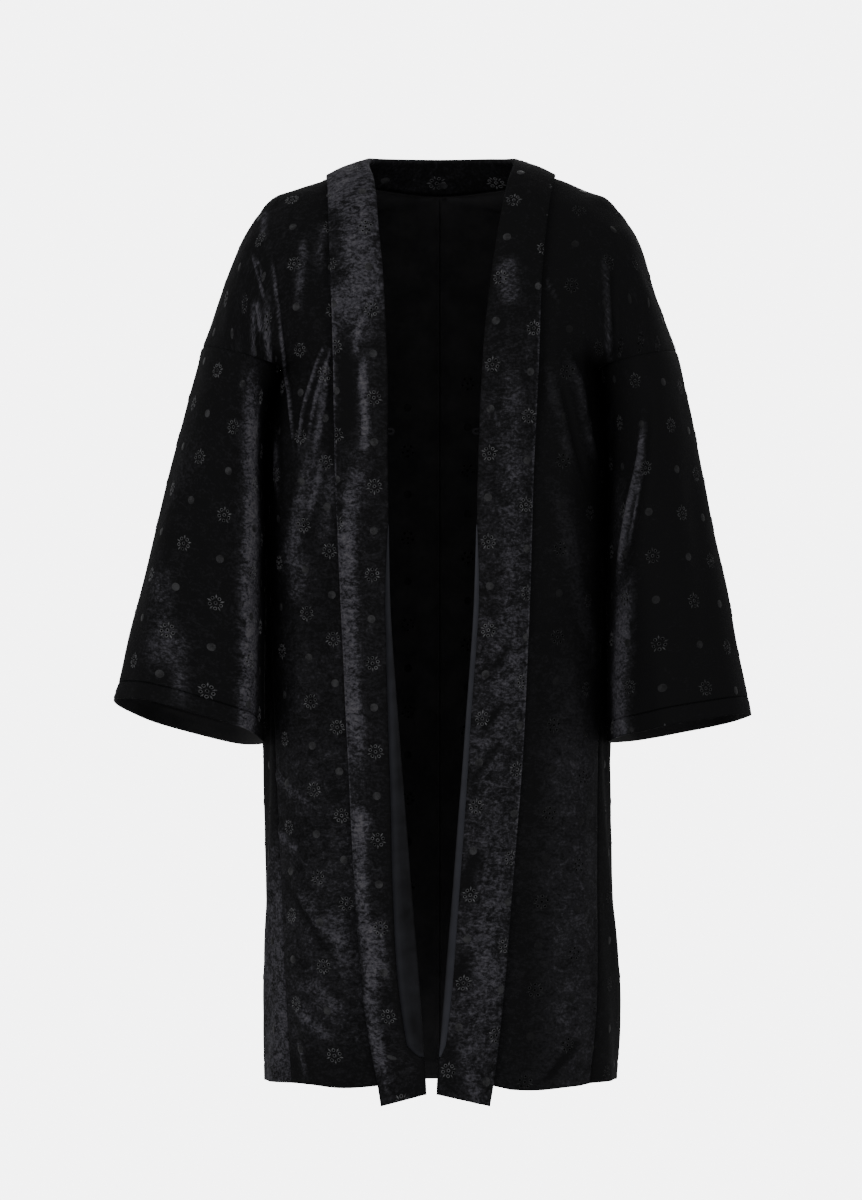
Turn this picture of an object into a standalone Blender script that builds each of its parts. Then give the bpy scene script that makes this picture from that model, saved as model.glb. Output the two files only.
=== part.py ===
"""Haori jacket, worn open: two body panels, two tube sleeves, two side gussets, a collar
folded outwards from hem to hem round the neck, two plain facing strips inside the collar's
fold and two small cord loops for the front ties.

Metres, +Z up, the front faces -Y and the wearer's right is -X. The origin lies midway between
the two points where the neck meets the shoulders, which carry the garment."""

import math
from collections import namedtuple

import bmesh
import bpy
from mathutils import Vector

MM = 0.001

# ---------------------------------------------------------------- driving dimensions
WALL = 2.0 * MM                 # velvet body, sleeves and collar
FACING_WALL = 1.0 * MM          # plain facing cloth
SEAM_GAP = 0.3 * MM             # between pieces that are sewn together
COLLAR_LAP = 12.0 * MM          # how far the folded collar covers its own seam
COLLAR_ROLL = 2.2 * MM          # radius of the collar's fold, at the middle of the cloth
COLLAR_REST = 3.4 * MM          # free edge of the collar above the body panel
EDGE_STAND = 0.25               # part of the outer layer's bulge that lifts its free edge
FACING_BAND = 16.0 * MM         # facing strip hidden inside the fold
LOOP_CORD = 2.4 * MM            # thickness of the tie loops' cord
LOOP_REACH = 7.0 * MM           # how far a loop stands out of the fold
LOOP_EYE = 2.0 * MM             # inner width of a loop
LOOP_HEIGHT = -258.0 * MM       # where the loops sit on the collar
GUSSET_TOP = 8.0 * MM           # half width of the gusset at the underarm
GUSSET_HEM = 62.0 * MM          # half width of the gusset at the hem
SIDE_HEM = -905.0 * MM          # height of the hem at the side seams
FRONT_HEM = -906.0 * MM         # height of the hem at the collar
BACK_HEM = -909.0 * MM          # height of the hem at the centre back
OUTLINE_POWER = 2.6             # roundness of the body's level section: 2 is an ellipse
HANDLE = 0.6                    # how full the curves across a panel are
SHOULDER_HANDLE = 0.68          # the same over the top of the shoulder
SHOULDER_LEAN = 0.16            # how far the upper arm's cloth leans out at its seam
SLEEVE_FLARE = 0.25             # share of the sleeve over which it leaves the body's side
YOKE_SLOPE = 0.9                # how steeply the back leaves the collar behind the shoulder
YOKE_LEAN = 0.2                 # share of that slope that leans forward
YOKE_ROWS = 3                   # rows below the collar over which that slope runs out
TUCK_START = math.radians(110)  # turn where the armhole starts to pass inside the sleeve
TUCK_SPAN = math.radians(60)    # turns over which it does
FOLD_START = 18.0 * MM          # folds rise to their full height over this from the collar
FOLD_END = 0.22                 # share of a row over which they sink towards its outer seam
FOLD_TAIL = 0.3                 # share of a fold's own length over which it fades
SLEEVE_FOLD_START = 0.15        # share of the sleeve over which its folds rise

RIGHT = -1                      # the wearer's right
LEFT = 1
SIDE_NAME = {RIGHT: "right", LEFT: "left"}

# The collar, from its front end up to the shoulder and round to the centre back. Heights
# and depths are those of the free edge and of the fold, the other columns their distance
# from the middle plane on each side; crown is how far the outer layer bulges.
CollarRow = namedtuple(
    "CollarRow",
    "edge_z fold_z edge_y fold_y right_edge right_fold left_edge left_fold crown")
COLLAR_ROWS = (
    CollarRow(-929, -917, -103, -112, 58, 14, 49, -3, 1),
    CollarRow(-903, -897, -103, -112, 62, 15, 53, -2, 2),
    CollarRow(-825, -825, -103, -113, 75, 20, 62, 4, 2),
    CollarRow(-725, -725, -104, -114, 83, 28, 70, 12, 3),
    CollarRow(-585, -585, -105, -116, 90, 39, 81, 23, 3),
    CollarRow(-430, -430, -106, -118, 97, 50, 88, 34, 3),
    CollarRow(-300, -300, -106, -119, 103, 52, 92, 38, 3),
    CollarRow(-190, -190, -105, -116, 105, 53, 97, 42, 4),
    CollarRow(-112, -110, -97, -104, 108, 57, 100, 50, 4),
    CollarRow(-57, -48, -77, -80, 110, 62, 105, 60, 4),
    CollarRow(-20, -8, -45, -46, 111, 66, 110, 68, 3),
    CollarRow(-2, 12, 0, -6, 111, 71, 113, 73, 2),
    CollarRow(-15, 16, 52, 34, 88, 56, 90, 57, 3),
    CollarRow(-27, 17, 84, 57, 0, 0, 0, 0, 4),
)
UNDERARM_ROW = 7                # its height is that of the underarm
SHOULDER_ROW = 11
BACK_ROW = 13

# How much of the facing shows past the fold, by height.
FacingRow = namedtuple("FacingRow", "height right left")
FACING_ROWS = (
    FacingRow(-345, 0, 0),
    FacingRow(-425, 5, 5),
    FacingRow(-585, 12, 6),
    FacingRow(-775, 21, 8),
    FacingRow(-868, 17, 6),
    FacingRow(-884, 0, 0),
)
FACING_TOP = -350.0 * MM
FACING_FOOT = -880.0 * MM

# Level sections of the body below the arms: half widths, depths to front and back, and how
# far behind the middle plane the section is widest, which is where the sleeves hang clear.
TorsoRow = namedtuple("TorsoRow", "height right left front back widest")
TORSO_ROWS = (
    TorsoRow(-912, 175, 176, 112, 108, 24),
    TorsoRow(-830, 175, 179, 113, 106, 24),
    TorsoRow(-700, 174, 172, 115, 104, 25),
    TorsoRow(-570, 175, 168, 117, 104, 26),
    TorsoRow(-450, 175.5, 168, 119, 104, 26),
    TorsoRow(-300, 175, 168, 120, 106, 26),
    TorsoRow(-247, 171, 165, 119, 107, 22),
    TorsoRow(-194, 157.7, 157.7, 116, 108, 0),
)

# The centre back above the underarm, up to the collar's free edge.
SpineRow = namedtuple("SpineRow", "height depth")
SPINE_ROWS = (
    SpineRow(-194, 108),
    SpineRow(-120, 106),
    SpineRow(-65, 97),
    SpineRow(-28, 84),
)

# Each sleeve: the seam ring's outermost and underarm points and the cuff's outer and inner
# corners as distance from the middle plane and height, then half depths, the cuff's middle
# depth, and how far the two rings tip up at the front, in degrees.
Sleeve = namedtuple(
    "Sleeve",
    "top_x top_z under_x under_z cuff_out_x cuff_out_z cuff_in_x cuff_in_z "
    "seam_half cuff_half seam_y cuff_y seam_tip cuff_tip")
SLEEVES = {
    RIGHT: Sleeve(238, -172, 160, -193, 326, -526, 177, -567, 104, 86, -5, -42, 2, 8),
    LEFT: Sleeve(239, -176, 160, -193, 311, -540, 169, -567, 104, 88, -5, -36, 2, 4),
}

# The largest folds of the body: a soft ridge (or trough, if height is negative) from one
# point to another, seen square on from the front or the back, in millimetres.
Fold = namedtuple("Fold", "face x0 z0 x1 z1 width height")
FRONT = -1
BACK = 1
BODY_FOLDS = {
    RIGHT: (
        Fold(FRONT, 168, -80, 160, -300, 19, 10),
        Fold(FRONT, 196, -80, 186, -180, 16, -6),
        Fold(FRONT, 106, -165, 142, -300, 15, 7),
        Fold(FRONT, 140, -265, 154, -420, 17, 8),
        Fold(FRONT, 122, -330, 118, -700, 17, -6),
        Fold(FRONT, 108, -560, 98, -912, 13, 5),
        Fold(FRONT, 148, -620, 138, -912, 15, 6),
        Fold(BACK, 166, -90, 150, -330, 20, 9),
        Fold(BACK, 118, -140, 124, -520, 20, -8),
        Fold(BACK, 82, -240, 96, -912, 20, 8),
        Fold(BACK, 44, -330, 40, -912, 17, -7),
        Fold(BACK, 138, -430, 142, -912, 17, 8),
    ),
    LEFT: (
        Fold(FRONT, 166, -80, 170, -310, 19, 10),
        Fold(FRONT, 196, -85, 190, -185, 16, -6),
        Fold(FRONT, 128, -190, 150, -310, 15, 7),
        Fold(FRONT, 108, -160, 146, -420, 17, 7),
        Fold(FRONT, 118, -430, 112, -800, 18, -6),
        Fold(FRONT, 146, -560, 136, -912, 15, 6),
        Fold(FRONT, 102, -650, 92, -912, 13, 5),
        Fold(BACK, 168, -95, 152, -320, 20, 9),
        Fold(BACK, 120, -150, 116, -560, 20, -8),
        Fold(BACK, 88, -280, 78, -912, 19, 9),
        Fold(BACK, 40, -300, 46, -912, 16, -6),
        Fold(BACK, 142, -400, 134, -912, 17, 7),
    ),
}

# The largest folds of the sleeves: from one turn angle (0 outermost, 90 front) and share of
# the length to another, with half width in degrees and height in millimetres.
TubeFold = namedtuple("TubeFold", "turn0 along0 turn1 along1 spread height")
SLEEVE_FOLDS = {
    RIGHT: (
        TubeFold(125, 0.0, 135, 1.0, 16, 6),
        TubeFold(78, 0.1, 98, 1.0, 16, -5),
        TubeFold(40, 0.25, 55, 1.0, 15, 5),
        TubeFold(-45, 0.0, -60, 1.0, 18, 6),
        TubeFold(-85, 0.1, -95, 0.9, 16, -5),
        TubeFold(-128, 0.2, -125, 1.0, 15, 5),
    ),
    LEFT: (
        TubeFold(70, 0.05, 118, 0.55, 14, 7),
        TubeFold(118, 0.5, 105, 1.0, 14, 6),
        TubeFold(45, 0.3, 62, 1.0, 15, -5),
        TubeFold(-50, 0.0, -55, 1.0, 18, 6),
        TubeFold(-90, 0.15, -88, 1.0, 16, -5),
        TubeFold(-130, 0.2, -122, 1.0, 15, 5),
    ),
}

# Faces along and across each piece.
SIDE_STEPS = 17                 # hem to underarm
RING_STEPS = 16                 # half of the armhole
NECK_STEPS = 6                  # shoulder to centre back
PANEL_STEPS = 12
SLEEVE_STEPS = 10
GUSSET_ACROSS = 4
FACING_STEPS = 22
FACING_ACROSS = 3
ROLL_STEPS = 4
LAYER_STEPS = 3
LOOP_STEPS = 8
SEARCH_STEPS = 160              # places tried along a line when one is looked for


# ---------------------------------------------------------------- curves
def blend(start, end, share):
    """The point or number that lies the given share of the way from start to end."""
    return start + (end - start) * share


def ease(value):
    """0 below 0 and 1 above 1, with a soft S between."""
    value = min(1.0, max(0.0, value))
    return value * value * (3.0 - 2.0 * value)


def through(points, place):
    """Smooth curve through evenly numbered points; place 0 is the first, 1 the second."""
    last = len(points) - 1
    index = min(max(int(math.floor(place)), 0), last - 1)
    share = place - index
    near, far = points[index], points[index + 1]
    before = points[index - 1] if index > 0 else near * 2.0 - far
    after = points[index + 2] if index + 2 <= last else far * 2.0 - near
    return 0.5 * ((near * 2.0) + (far - before) * share
                  + (before * 2.0 - near * 5.0 + far * 4.0 - after) * share ** 2
                  + (near * 3.0 - before - far * 3.0 + after) * share ** 3)


def by_height(rows, column, height):
    """A table's column at a height, read smoothly between its rows."""
    heights = [row.height * MM for row in rows]
    values = [getattr(row, column) * MM for row in rows]
    if heights[0] > heights[-1]:
        heights.reverse()
        values.reverse()
    if height <= heights[0]:
        return values[0]
    if height >= heights[-1]:
        return values[-1]
    index = max(i for i, level in enumerate(heights[:-1]) if level <= height)
    share = (height - heights[index]) / (heights[index + 1] - heights[index])
    return through(values, index + share)


def bezier(start, start_way, end, end_way, handle, share):
    """Curve from start, leaving along start_way, to end, arriving along end_way."""
    chord = end - start
    least = 0.25 * chord.length
    near = start + start_way * max(least, handle * abs(chord.dot(start_way)))
    far = end - end_way * max(least, handle * abs(chord.dot(end_way)))
    rest = 1.0 - share
    return (start * rest ** 3 + near * (3.0 * rest ** 2 * share)
            + far * (3.0 * rest * share ** 2) + end * share ** 3)


def evenly(points, steps):
    """Places along a polyline of points, spaced evenly by length, as float indices."""
    lengths = [0.0]
    for first, second in zip(points, points[1:]):
        lengths.append(lengths[-1] + (second - first).length)
    places = []
    index = 0
    for step in range(steps + 1):
        target = lengths[-1] * step / steps
        while index < len(points) - 2 and lengths[index + 1] < target:
            index += 1
        span = max(lengths[index + 1] - lengths[index], 1e-9)
        places.append(index + min(1.0, (target - lengths[index]) / span))
    return places


def at(points, place):
    """The point of a polyline at a float index."""
    index = min(int(place), len(points) - 2)
    return blend(points[index], points[index + 1], place - index)


# ---------------------------------------------------------------- collar lines
def facing_show(side, height):
    """Width of facing that shows past the fold at a height."""
    return max(0.0, by_height(FACING_ROWS, SIDE_NAME[side], height))


def collar_lines(side, place):
    """Free edge, fold and opening edge of the collar at a place along its rows."""
    name = SIDE_NAME[side]
    edges, folds = [], []
    for row in COLLAR_ROWS + COLLAR_ROWS[-2:-4:-1]:
        edges.append(Vector((side * getattr(row, name + "_edge"), row.edge_y, row.edge_z)) * MM)
        folds.append(Vector((side * getattr(row, name + "_fold"), row.fold_y, row.fold_z)) * MM)
    for points in (edges, folds):
        for mirrored in (BACK_ROW + 1, BACK_ROW + 2):
            points[mirrored].x *= -1.0
    edge = through(edges, place)
    opening = through(folds, place)
    inward = (opening - edge).normalized()
    fold = opening - inward * facing_show(side, opening.z)
    return edge, fold, opening


def collar_frame(side, place):
    """Free edge, width to the fold, inward way and outward way of the collar."""
    edge, fold, opening = collar_lines(side, place)
    nearby = 1.0 / SIDE_STEPS
    ahead = collar_lines(side, place + nearby)[0] - collar_lines(side, place - nearby)[0]
    inward = (fold - edge).normalized()
    outward = inward.cross(ahead).normalized() * -side
    return edge, (fold - edge).length, inward, outward, (opening - fold).length


def collar_crown(place):
    crowns = [row.crown * MM for row in COLLAR_ROWS + COLLAR_ROWS[-2:-4:-1]]
    return through(crowns, place)


def collar_seam(side, place):
    """Where the body panel meets the collar, under the folded layer."""
    edge, _, inward, _, _ = collar_frame(side, place)
    return edge + inward * COLLAR_LAP


def collar_section(side, place):
    """Middle line of the folded cloth: seam, inner layer, fold, outer layer, free edge."""
    edge, width, inward, outward, _ = collar_frame(side, place)
    crown = collar_crown(place)
    roll_start = width - COLLAR_ROLL
    seam = COLLAR_LAP + 0.5 * SEAM_GAP
    line = []
    for step in range(LAYER_STEPS):
        line.append((blend(seam, roll_start, step / LAYER_STEPS), 0.0))
    for step in range(ROLL_STEPS + 1):
        turn = math.pi * step / ROLL_STEPS
        line.append((roll_start + COLLAR_ROLL * math.sin(turn),
                     COLLAR_ROLL * (1.0 - math.cos(turn))))
    for step in range(1, LAYER_STEPS + 1):
        share = step / LAYER_STEPS
        lift = blend(2.0 * COLLAR_ROLL, COLLAR_REST + EDGE_STAND * crown, share)
        line.append((roll_start * (1.0 - share), lift + crown * math.sin(math.pi * share)))
    return [edge + inward * across + outward * out for across, out in line]


# ---------------------------------------------------------------- body lines
def outline_point(side, depth, height):
    """The point of the body's level section at a depth."""
    widest = by_height(TORSO_ROWS, "widest", height)
    if depth < widest:
        reach = by_height(TORSO_ROWS, "front", height) + widest
    else:
        reach = by_height(TORSO_ROWS, "back", height) - widest
    share = min(1.0, abs(depth - widest) / reach)
    half_width = by_height(TORSO_ROWS, SIDE_NAME[side], height)
    width = half_width * (1.0 - share ** OUTLINE_POWER) ** (1.0 / OUTLINE_POWER)
    return Vector((side * width, depth, height))


def gusset_seam(side, face, height):
    """The seam between the gusset and the front or back panel."""
    sleeve = SLEEVES[side]
    drop = (sleeve.under_z * MM - height) / (sleeve.under_z * MM - SIDE_HEM)
    depth = sleeve.seam_y * MM + face * blend(GUSSET_TOP, GUSSET_HEM, min(1.0, max(0.0, drop)))
    return outline_point(side, depth, height)


def gusset_seam_way(side, face, height):
    """Level way along the body's outline at the seam, from the panel towards the gusset."""
    here = gusset_seam(side, face, height)
    there = outline_point(side, here.y - face * 2.0 * WALL, height)
    return (there - here).normalized()


def sleeve_point(side, turn, along):
    """A point of the sleeve: turn 0 is outermost, 90 degrees the front, 180 underarm."""
    sleeve = SLEEVES[side]
    top = Vector((side * sleeve.top_x, sleeve.seam_y, sleeve.top_z)) * MM
    under = Vector((side * sleeve.under_x, sleeve.seam_y, sleeve.under_z)) * MM
    cuff_out = Vector((side * sleeve.cuff_out_x, sleeve.cuff_y, sleeve.cuff_out_z)) * MM
    cuff_in = Vector((side * sleeve.cuff_in_x, sleeve.cuff_y, sleeve.cuff_in_z)) * MM
    outer = blend(top, cuff_out, along)
    inner = blend(under, cuff_in, along)
    inner.x = blend(under.x, cuff_in.x, ease(0.5 + 0.5 * along / SLEEVE_FLARE) * 2.0 - 1.0)
    half_depth = blend(sleeve.seam_half, sleeve.cuff_half, along) * MM
    tip = math.radians(blend(sleeve.seam_tip, sleeve.cuff_tip, along))
    forward = Vector((0.0, -math.cos(tip), math.sin(tip)))
    return ((outer + inner) * 0.5 + (outer - inner) * (0.5 * math.cos(turn))
            + forward * (half_depth * math.sin(turn)))


def sleeve_way(side, turn):
    """The way the sleeve's wall runs at its seam."""
    return (sleeve_point(side, turn, 1.0) - sleeve_point(side, turn, 0.0)).normalized()


def underarm_turn(side, face):
    """Turn at which the armhole reaches the gusset's corner."""
    half = SLEEVES[side].seam_half * MM
    return (math.pi - math.asin(GUSSET_TOP / half)) * -face


def armhole_point(side, turn):
    """The armhole's edge, which passes inside the sleeve's wall at the underarm."""
    point = sleeve_point(side, turn, 0.0)
    point.x -= side * ease((abs(turn) - TUCK_START) / TUCK_SPAN) * (WALL + SEAM_GAP)
    return point


def armhole_way(side, turn):
    """The way a row of the body panel arrives at the armhole."""
    share = ease((abs(turn) - TUCK_START) / TUCK_SPAN)
    round_body = Vector((0.0, 1.0 if turn > 0 else -1.0, 0.0))
    way = sleeve_way(side, turn)
    way.x += side * SHOULDER_LEAN * max(0.0, math.cos(turn))
    return blend(way, round_body, share).normalized()


def spine_point(height):
    """The centre back seam at a height."""
    if height < SPINE_ROWS[0].height * MM:
        depth = by_height(TORSO_ROWS, "back", height)
    else:
        depth = by_height(SPINE_ROWS, "depth", height)
    return Vector((0.0, depth, height))


def seam_places(side):
    """Places along the collar's rows where panel and collar rows meet: the front up to the
    underarm, on to the shoulder, and round the neck to the centre back."""
    fine = SEARCH_STEPS
    hem = next(step / fine for step in range(2 * fine)
               if collar_seam(side, step / fine).z > FRONT_HEM)
    stretches = []
    for first, last, steps in ((hem, float(UNDERARM_ROW), SIDE_STEPS),
                               (float(UNDERARM_ROW), float(SHOULDER_ROW), RING_STEPS),
                               (float(SHOULDER_ROW), float(BACK_ROW), NECK_STEPS)):
        places = [blend(first, last, step / fine) for step in range(fine + 1)]
        seam = [collar_seam(side, place) for place in places]
        stretches.append([blend(first, last, index / fine) for index in evenly(seam, steps)])
    return stretches


def panel_rows(side):
    """Start point, start way, end point, end way and fullness of each row across a body
    panel, from the front hem over the shoulder to the back hem, trimmed to the seams."""
    trim = 0.5 * SEAM_GAP
    underarm = SLEEVES[side].under_z * MM
    low, high, neck = seam_places(side)
    outwards = Vector((side, 0.0, 0.0))
    rows = []

    def add_row(start, way, end, end_way, handle=HANDLE):
        rows.append((start, way, end - end_way * trim, end_way, handle))

    def add_ring_row(start, way, turn):
        handle = blend(HANDLE, SHOULDER_HANDLE, ease(math.cos(turn)))
        add_row(start, way, armhole_point(side, turn), armhole_way(side, turn), handle)

    def seam_start(place):
        off_seam = -collar_frame(side, place)[2]
        return collar_seam(side, place) + off_seam * trim, off_seam

    # front, hem to underarm: collar seam to gusset seam
    for step, place in enumerate(low[:-1]):
        height = blend(SIDE_HEM, underarm, step / SIDE_STEPS)
        add_row(*seam_start(place),
                gusset_seam(side, FRONT, height), gusset_seam_way(side, FRONT, height))

    # front, underarm to shoulder: collar seam to armhole
    for step, place in enumerate(high):
        add_ring_row(*seam_start(place), underarm_turn(side, FRONT) * (1.0 - step / RING_STEPS))

    # back, shoulder to underarm: collar seam, then centre back seam, to armhole
    shoulder_way = seam_start(float(SHOULDER_ROW))[1]
    top = SPINE_ROWS[-1].height * MM
    corner = seam_start(float(BACK_ROW))[0]
    spine = [corner] + [spine_point(blend(top, underarm, step / SEARCH_STEPS))
                        for step in range(SEARCH_STEPS + 1)]
    starts = [seam_start(place)[0] for place in neck[1:-1]]
    starts += [at(spine, index) + outwards * trim
               for index in evenly(spine, RING_STEPS - NECK_STEPS)]
    for step, start in enumerate(starts, 1):
        slope = YOKE_SLOPE * (1.0 - ease(step / (NECK_STEPS + YOKE_ROWS)))
        yoke_way = Vector((side, -YOKE_LEAN * slope, -slope)).normalized()
        way = blend(shoulder_way, yoke_way, min(1.0, step / NECK_STEPS)).normalized()
        add_ring_row(start, way, underarm_turn(side, BACK) * step / RING_STEPS)

    # back, underarm to hem: centre back seam to gusset seam
    for step in range(1, SIDE_STEPS + 1):
        share = step / SIDE_STEPS
        height = blend(underarm, SIDE_HEM, share)
        start = spine_point(blend(underarm, BACK_HEM, share)) + outwards * trim
        add_row(start, outwards,
                gusset_seam(side, BACK, height), gusset_seam_way(side, BACK, height))
    return rows


# ---------------------------------------------------------------- folds
def body_fold(side, point):
    """How far the folds push a point of the body out of its smooth form."""
    push = 0.0
    for fold in BODY_FOLDS[side]:
        if fold.face * point.y <= 0.0:
            continue
        start = Vector((side * fold.x0, fold.z0)) * MM
        end = Vector((side * fold.x1, fold.z1)) * MM
        flat = Vector((point.x, point.z))
        line = end - start
        share = (flat - start).dot(line) / line.length_squared
        off = (flat - start - line * share).length / (fold.width * MM)
        fade = ease(share / FOLD_TAIL + FOLD_TAIL)
        if fold.z1 * MM > BACK_HEM:
            fade *= ease((1.0 - share) / FOLD_TAIL + FOLD_TAIL)
        push += fold.height * MM * math.exp(-off * off) * fade
    return push


def sleeve_fold(side, turn, along):
    """How far the folds push a point of the sleeve outwards."""
    push = 0.0
    for fold in SLEEVE_FOLDS[side]:
        share = (along - fold.along0) / (fold.along1 - fold.along0)
        middle = math.radians(blend(fold.turn0, fold.turn1, min(1.0, max(0.0, share))))
        off = math.remainder(turn - middle, 2.0 * math.pi) / math.radians(fold.spread)
        fade = ease(share / FOLD_TAIL + FOLD_TAIL)
        if fold.along1 < 1.0:
            fade *= ease((1.0 - share) / FOLD_TAIL + FOLD_TAIL)
        push += fold.height * MM * math.exp(-off * off) * fade
    return push * ease(along / SLEEVE_FOLD_START)


# ---------------------------------------------------------------- meshes
def new_material(name, colour, roughness):
    material = bpy.data.materials.new(name)
    material.use_nodes = True
    shader = material.node_tree.nodes["Principled BSDF"]
    shader.inputs["Base Color"].default_value = (*colour, 1.0)
    shader.inputs["Roughness"].default_value = roughness
    shader.inputs["Metallic"].default_value = 0.0
    return material


def place_object(name, mesh, material, collection):
    mesh.materials.clear()
    mesh.materials.append(material)
    piece = bpy.data.objects.new(name, mesh)
    collection.objects.link(piece)
    return piece


def cloth(name, rows, wall, material, collection, closed=False):
    """A sheet of cloth through rows of points, given its wall; closed joins last to first."""
    along, across = len(rows), len(rows[0])
    mesh = bpy.data.meshes.new(name)
    sheet = bmesh.new()
    bmesh.ops.create_grid(sheet, x_segments=across - 1, y_segments=along - 1, size=1.0)
    sheet.verts.ensure_lookup_table()
    order = sorted(sheet.verts, key=lambda vert: (round(vert.co.y, 5), round(vert.co.x, 5)))
    for vert, point in zip(order, [point for row in rows for point in row]):
        vert.co = point
    if closed:
        bmesh.ops.remove_doubles(sheet, verts=sheet.verts, dist=0.01 * MM)
    bmesh.ops.recalc_face_normals(sheet, faces=sheet.faces)
    for face in sheet.faces:
        face.smooth = True
    sheet.to_mesh(mesh)
    sheet.free()
    piece = place_object(name, mesh, material, collection)
    skin = piece.modifiers.new("wall", "SOLIDIFY")
    skin.thickness = wall
    skin.offset = 0.0
    skin.use_even_offset = True
    skin.use_quality_normals = True
    return piece


def body_panel(side, material, collection):
    """Front and back of one side, cut in one piece over the shoulder."""
    rows = []
    for start, start_way, end, end_way, handle in panel_rows(side):
        row = []
        for step in range(PANEL_STEPS + 1):
            share = step / PANEL_STEPS
            point = bezier(start, start_way, end, end_way, handle, share)
            clear = (point - start).length - COLLAR_LAP
            edge_fade = ease(clear / FOLD_START) * ease((1.0 - share) / FOLD_END)
            face = FRONT if point.y < 0.0 else BACK
            point.y += face * body_fold(side, point) * edge_fade
            row.append(point)
        rows.append(row)
    return cloth("body_" + SIDE_NAME[side], rows, WALL, material, collection)


def sleeve_tube(side, material, collection):
    """A straight sleeve, joined into a tube along the underarm."""
    front = [underarm_turn(side, FRONT) * step / RING_STEPS for step in range(RING_STEPS + 1)]
    back = [underarm_turn(side, BACK) * step / RING_STEPS for step in range(RING_STEPS + 1)]
    turns = front + [math.pi] + back[::-1]
    seam_way = (sleeve_way(side, 0.0) + sleeve_way(side, math.pi)).normalized()
    rows = []
    for step in range(SLEEVE_STEPS + 1):
        along = step / SLEEVE_STEPS
        middle = (sleeve_point(side, 0.0, along) + sleeve_point(side, math.pi, along)) * 0.5
        row = []
        for turn in turns:
            point = sleeve_point(side, turn, along)
            point += (point - middle).normalized() * sleeve_fold(side, turn, along)
            if step == 0:
                point += seam_way * (0.5 * SEAM_GAP)
            row.append(point)
        rows.append(row)
    return cloth("sleeve_" + SIDE_NAME[side], rows, WALL, material, collection, closed=True)


def gusset(side, material, collection):
    """The long narrow wedge let in between front and back under the arm."""
    trim = 0.5 * SEAM_GAP
    underarm = SLEEVES[side].under_z * MM
    rows = []
    for step in range(SIDE_STEPS + 1):
        height = blend(SIDE_HEM, underarm, step / SIDE_STEPS)
        front = gusset_seam(side, FRONT, height).y + trim
        back = gusset_seam(side, BACK, height).y - trim
        rows.append([outline_point(side, blend(front, back, share / GUSSET_ACROSS), height)
                     for share in range(GUSSET_ACROSS + 1)])
    return cloth("gusset_" + SIDE_NAME[side], rows, WALL, material, collection)


def collar(material, collection):
    """One band from hem to hem round the neck, folded outwards along its length."""
    rows = []
    for side in (RIGHT, LEFT):
        low, high, neck = seam_places(side)
        places = [0.0, 0.5 * low[0]] + low[:-1] + high[:-1] + neck
        sections = [collar_section(side, place) for place in places]
        rows += sections if side == RIGHT else sections[-2::-1]
    return cloth("collar", rows, WALL, material, collection)


def facing(side, material, collection):
    """The plain strip sewn inside the fold, which rolls out past it down the front."""
    places = [step / SEARCH_STEPS for step in range(SHOULDER_ROW * SEARCH_STEPS)]
    shown = [place for place in places
             if FACING_FOOT < collar_lines(side, place)[2].z < FACING_TOP]
    rows = []
    for step in range(FACING_STEPS + 1):
        place = blend(shown[0], shown[-1], step / FACING_STEPS)
        edge, width, inward, outward, show = collar_frame(side, place)
        depth = -0.5 * (WALL + FACING_WALL) - SEAM_GAP
        row = []
        for share in range(FACING_ACROSS + 1):
            across = blend(width - FACING_BAND, width + show, share / FACING_ACROSS)
            row.append(edge + inward * across + outward * depth)
        rows.append(row)
    return cloth("collar_facing_" + SIDE_NAME[side], rows, FACING_WALL, material, collection)


def tie_loop(side, material, collection):
    """A small loop of cord at the fold, which a front tie hooks into."""
    places = [step / SEARCH_STEPS for step in range(SHOULDER_ROW * SEARCH_STEPS)]
    place = next(place for place in places if collar_lines(side, place)[0].z > LOOP_HEIGHT)
    edge, width, inward, outward, _ = collar_frame(side, place)
    root = edge + inward * (width + 0.5 * WALL + SEAM_GAP) + outward * COLLAR_ROLL
    prong = 0.5 * (LOOP_CORD + LOOP_EYE)
    straight = LOOP_REACH - prong - 0.5 * LOOP_CORD
    upward = Vector((0.0, 0.0, 1.0))
    points = [root + upward * prong]
    for step in range(LOOP_STEPS + 1):
        turn = math.pi * (0.5 - step / LOOP_STEPS)
        points.append(root + inward * (straight + prong * math.cos(turn))
                      + upward * (prong * math.sin(turn)))
    points.append(root - upward * prong)
    curve = bpy.data.curves.new("tie_loop_" + SIDE_NAME[side], "CURVE")
    curve.dimensions = "3D"
    curve.bevel_depth = 0.5 * LOOP_CORD
    curve.bevel_resolution = 2
    curve.use_fill_caps = True
    line = curve.splines.new("POLY")
    line.points.add(len(points) - 1)
    for corner, point in zip(line.points, points):
        corner.co = (*point, 1.0)
    curve.materials.append(material)
    piece = bpy.data.objects.new("tie_loop_" + SIDE_NAME[side], curve)
    collection.objects.link(piece)
    return piece


# ---------------------------------------------------------------- the garment
for leftover in list(bpy.data.objects):
    bpy.data.objects.remove(leftover, do_unlink=True)

haori = bpy.data.collections.new("haori_jacket")
bpy.context.scene.collection.children.link(haori)

velvet = new_material("black_velvet", (0.012, 0.012, 0.015), 0.85)
plain_cloth = new_material("plain_facing_cloth", (0.022, 0.022, 0.028), 0.6)
black_cord = new_material("black_cord", (0.01, 0.01, 0.011), 0.7)

for side in (RIGHT, LEFT):
    body_panel(side, velvet.copy(), haori)
    sleeve_tube(side, velvet.copy(), haori)
    gusset(side, velvet.copy(), haori)
    facing(side, plain_cloth.copy(), haori)
    tie_loop(side, black_cord.copy(), haori)
collar(velvet.copy(), haori)
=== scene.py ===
from collections import namedtuple

import bpy
import numpy as np
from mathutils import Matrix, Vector, noise


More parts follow.
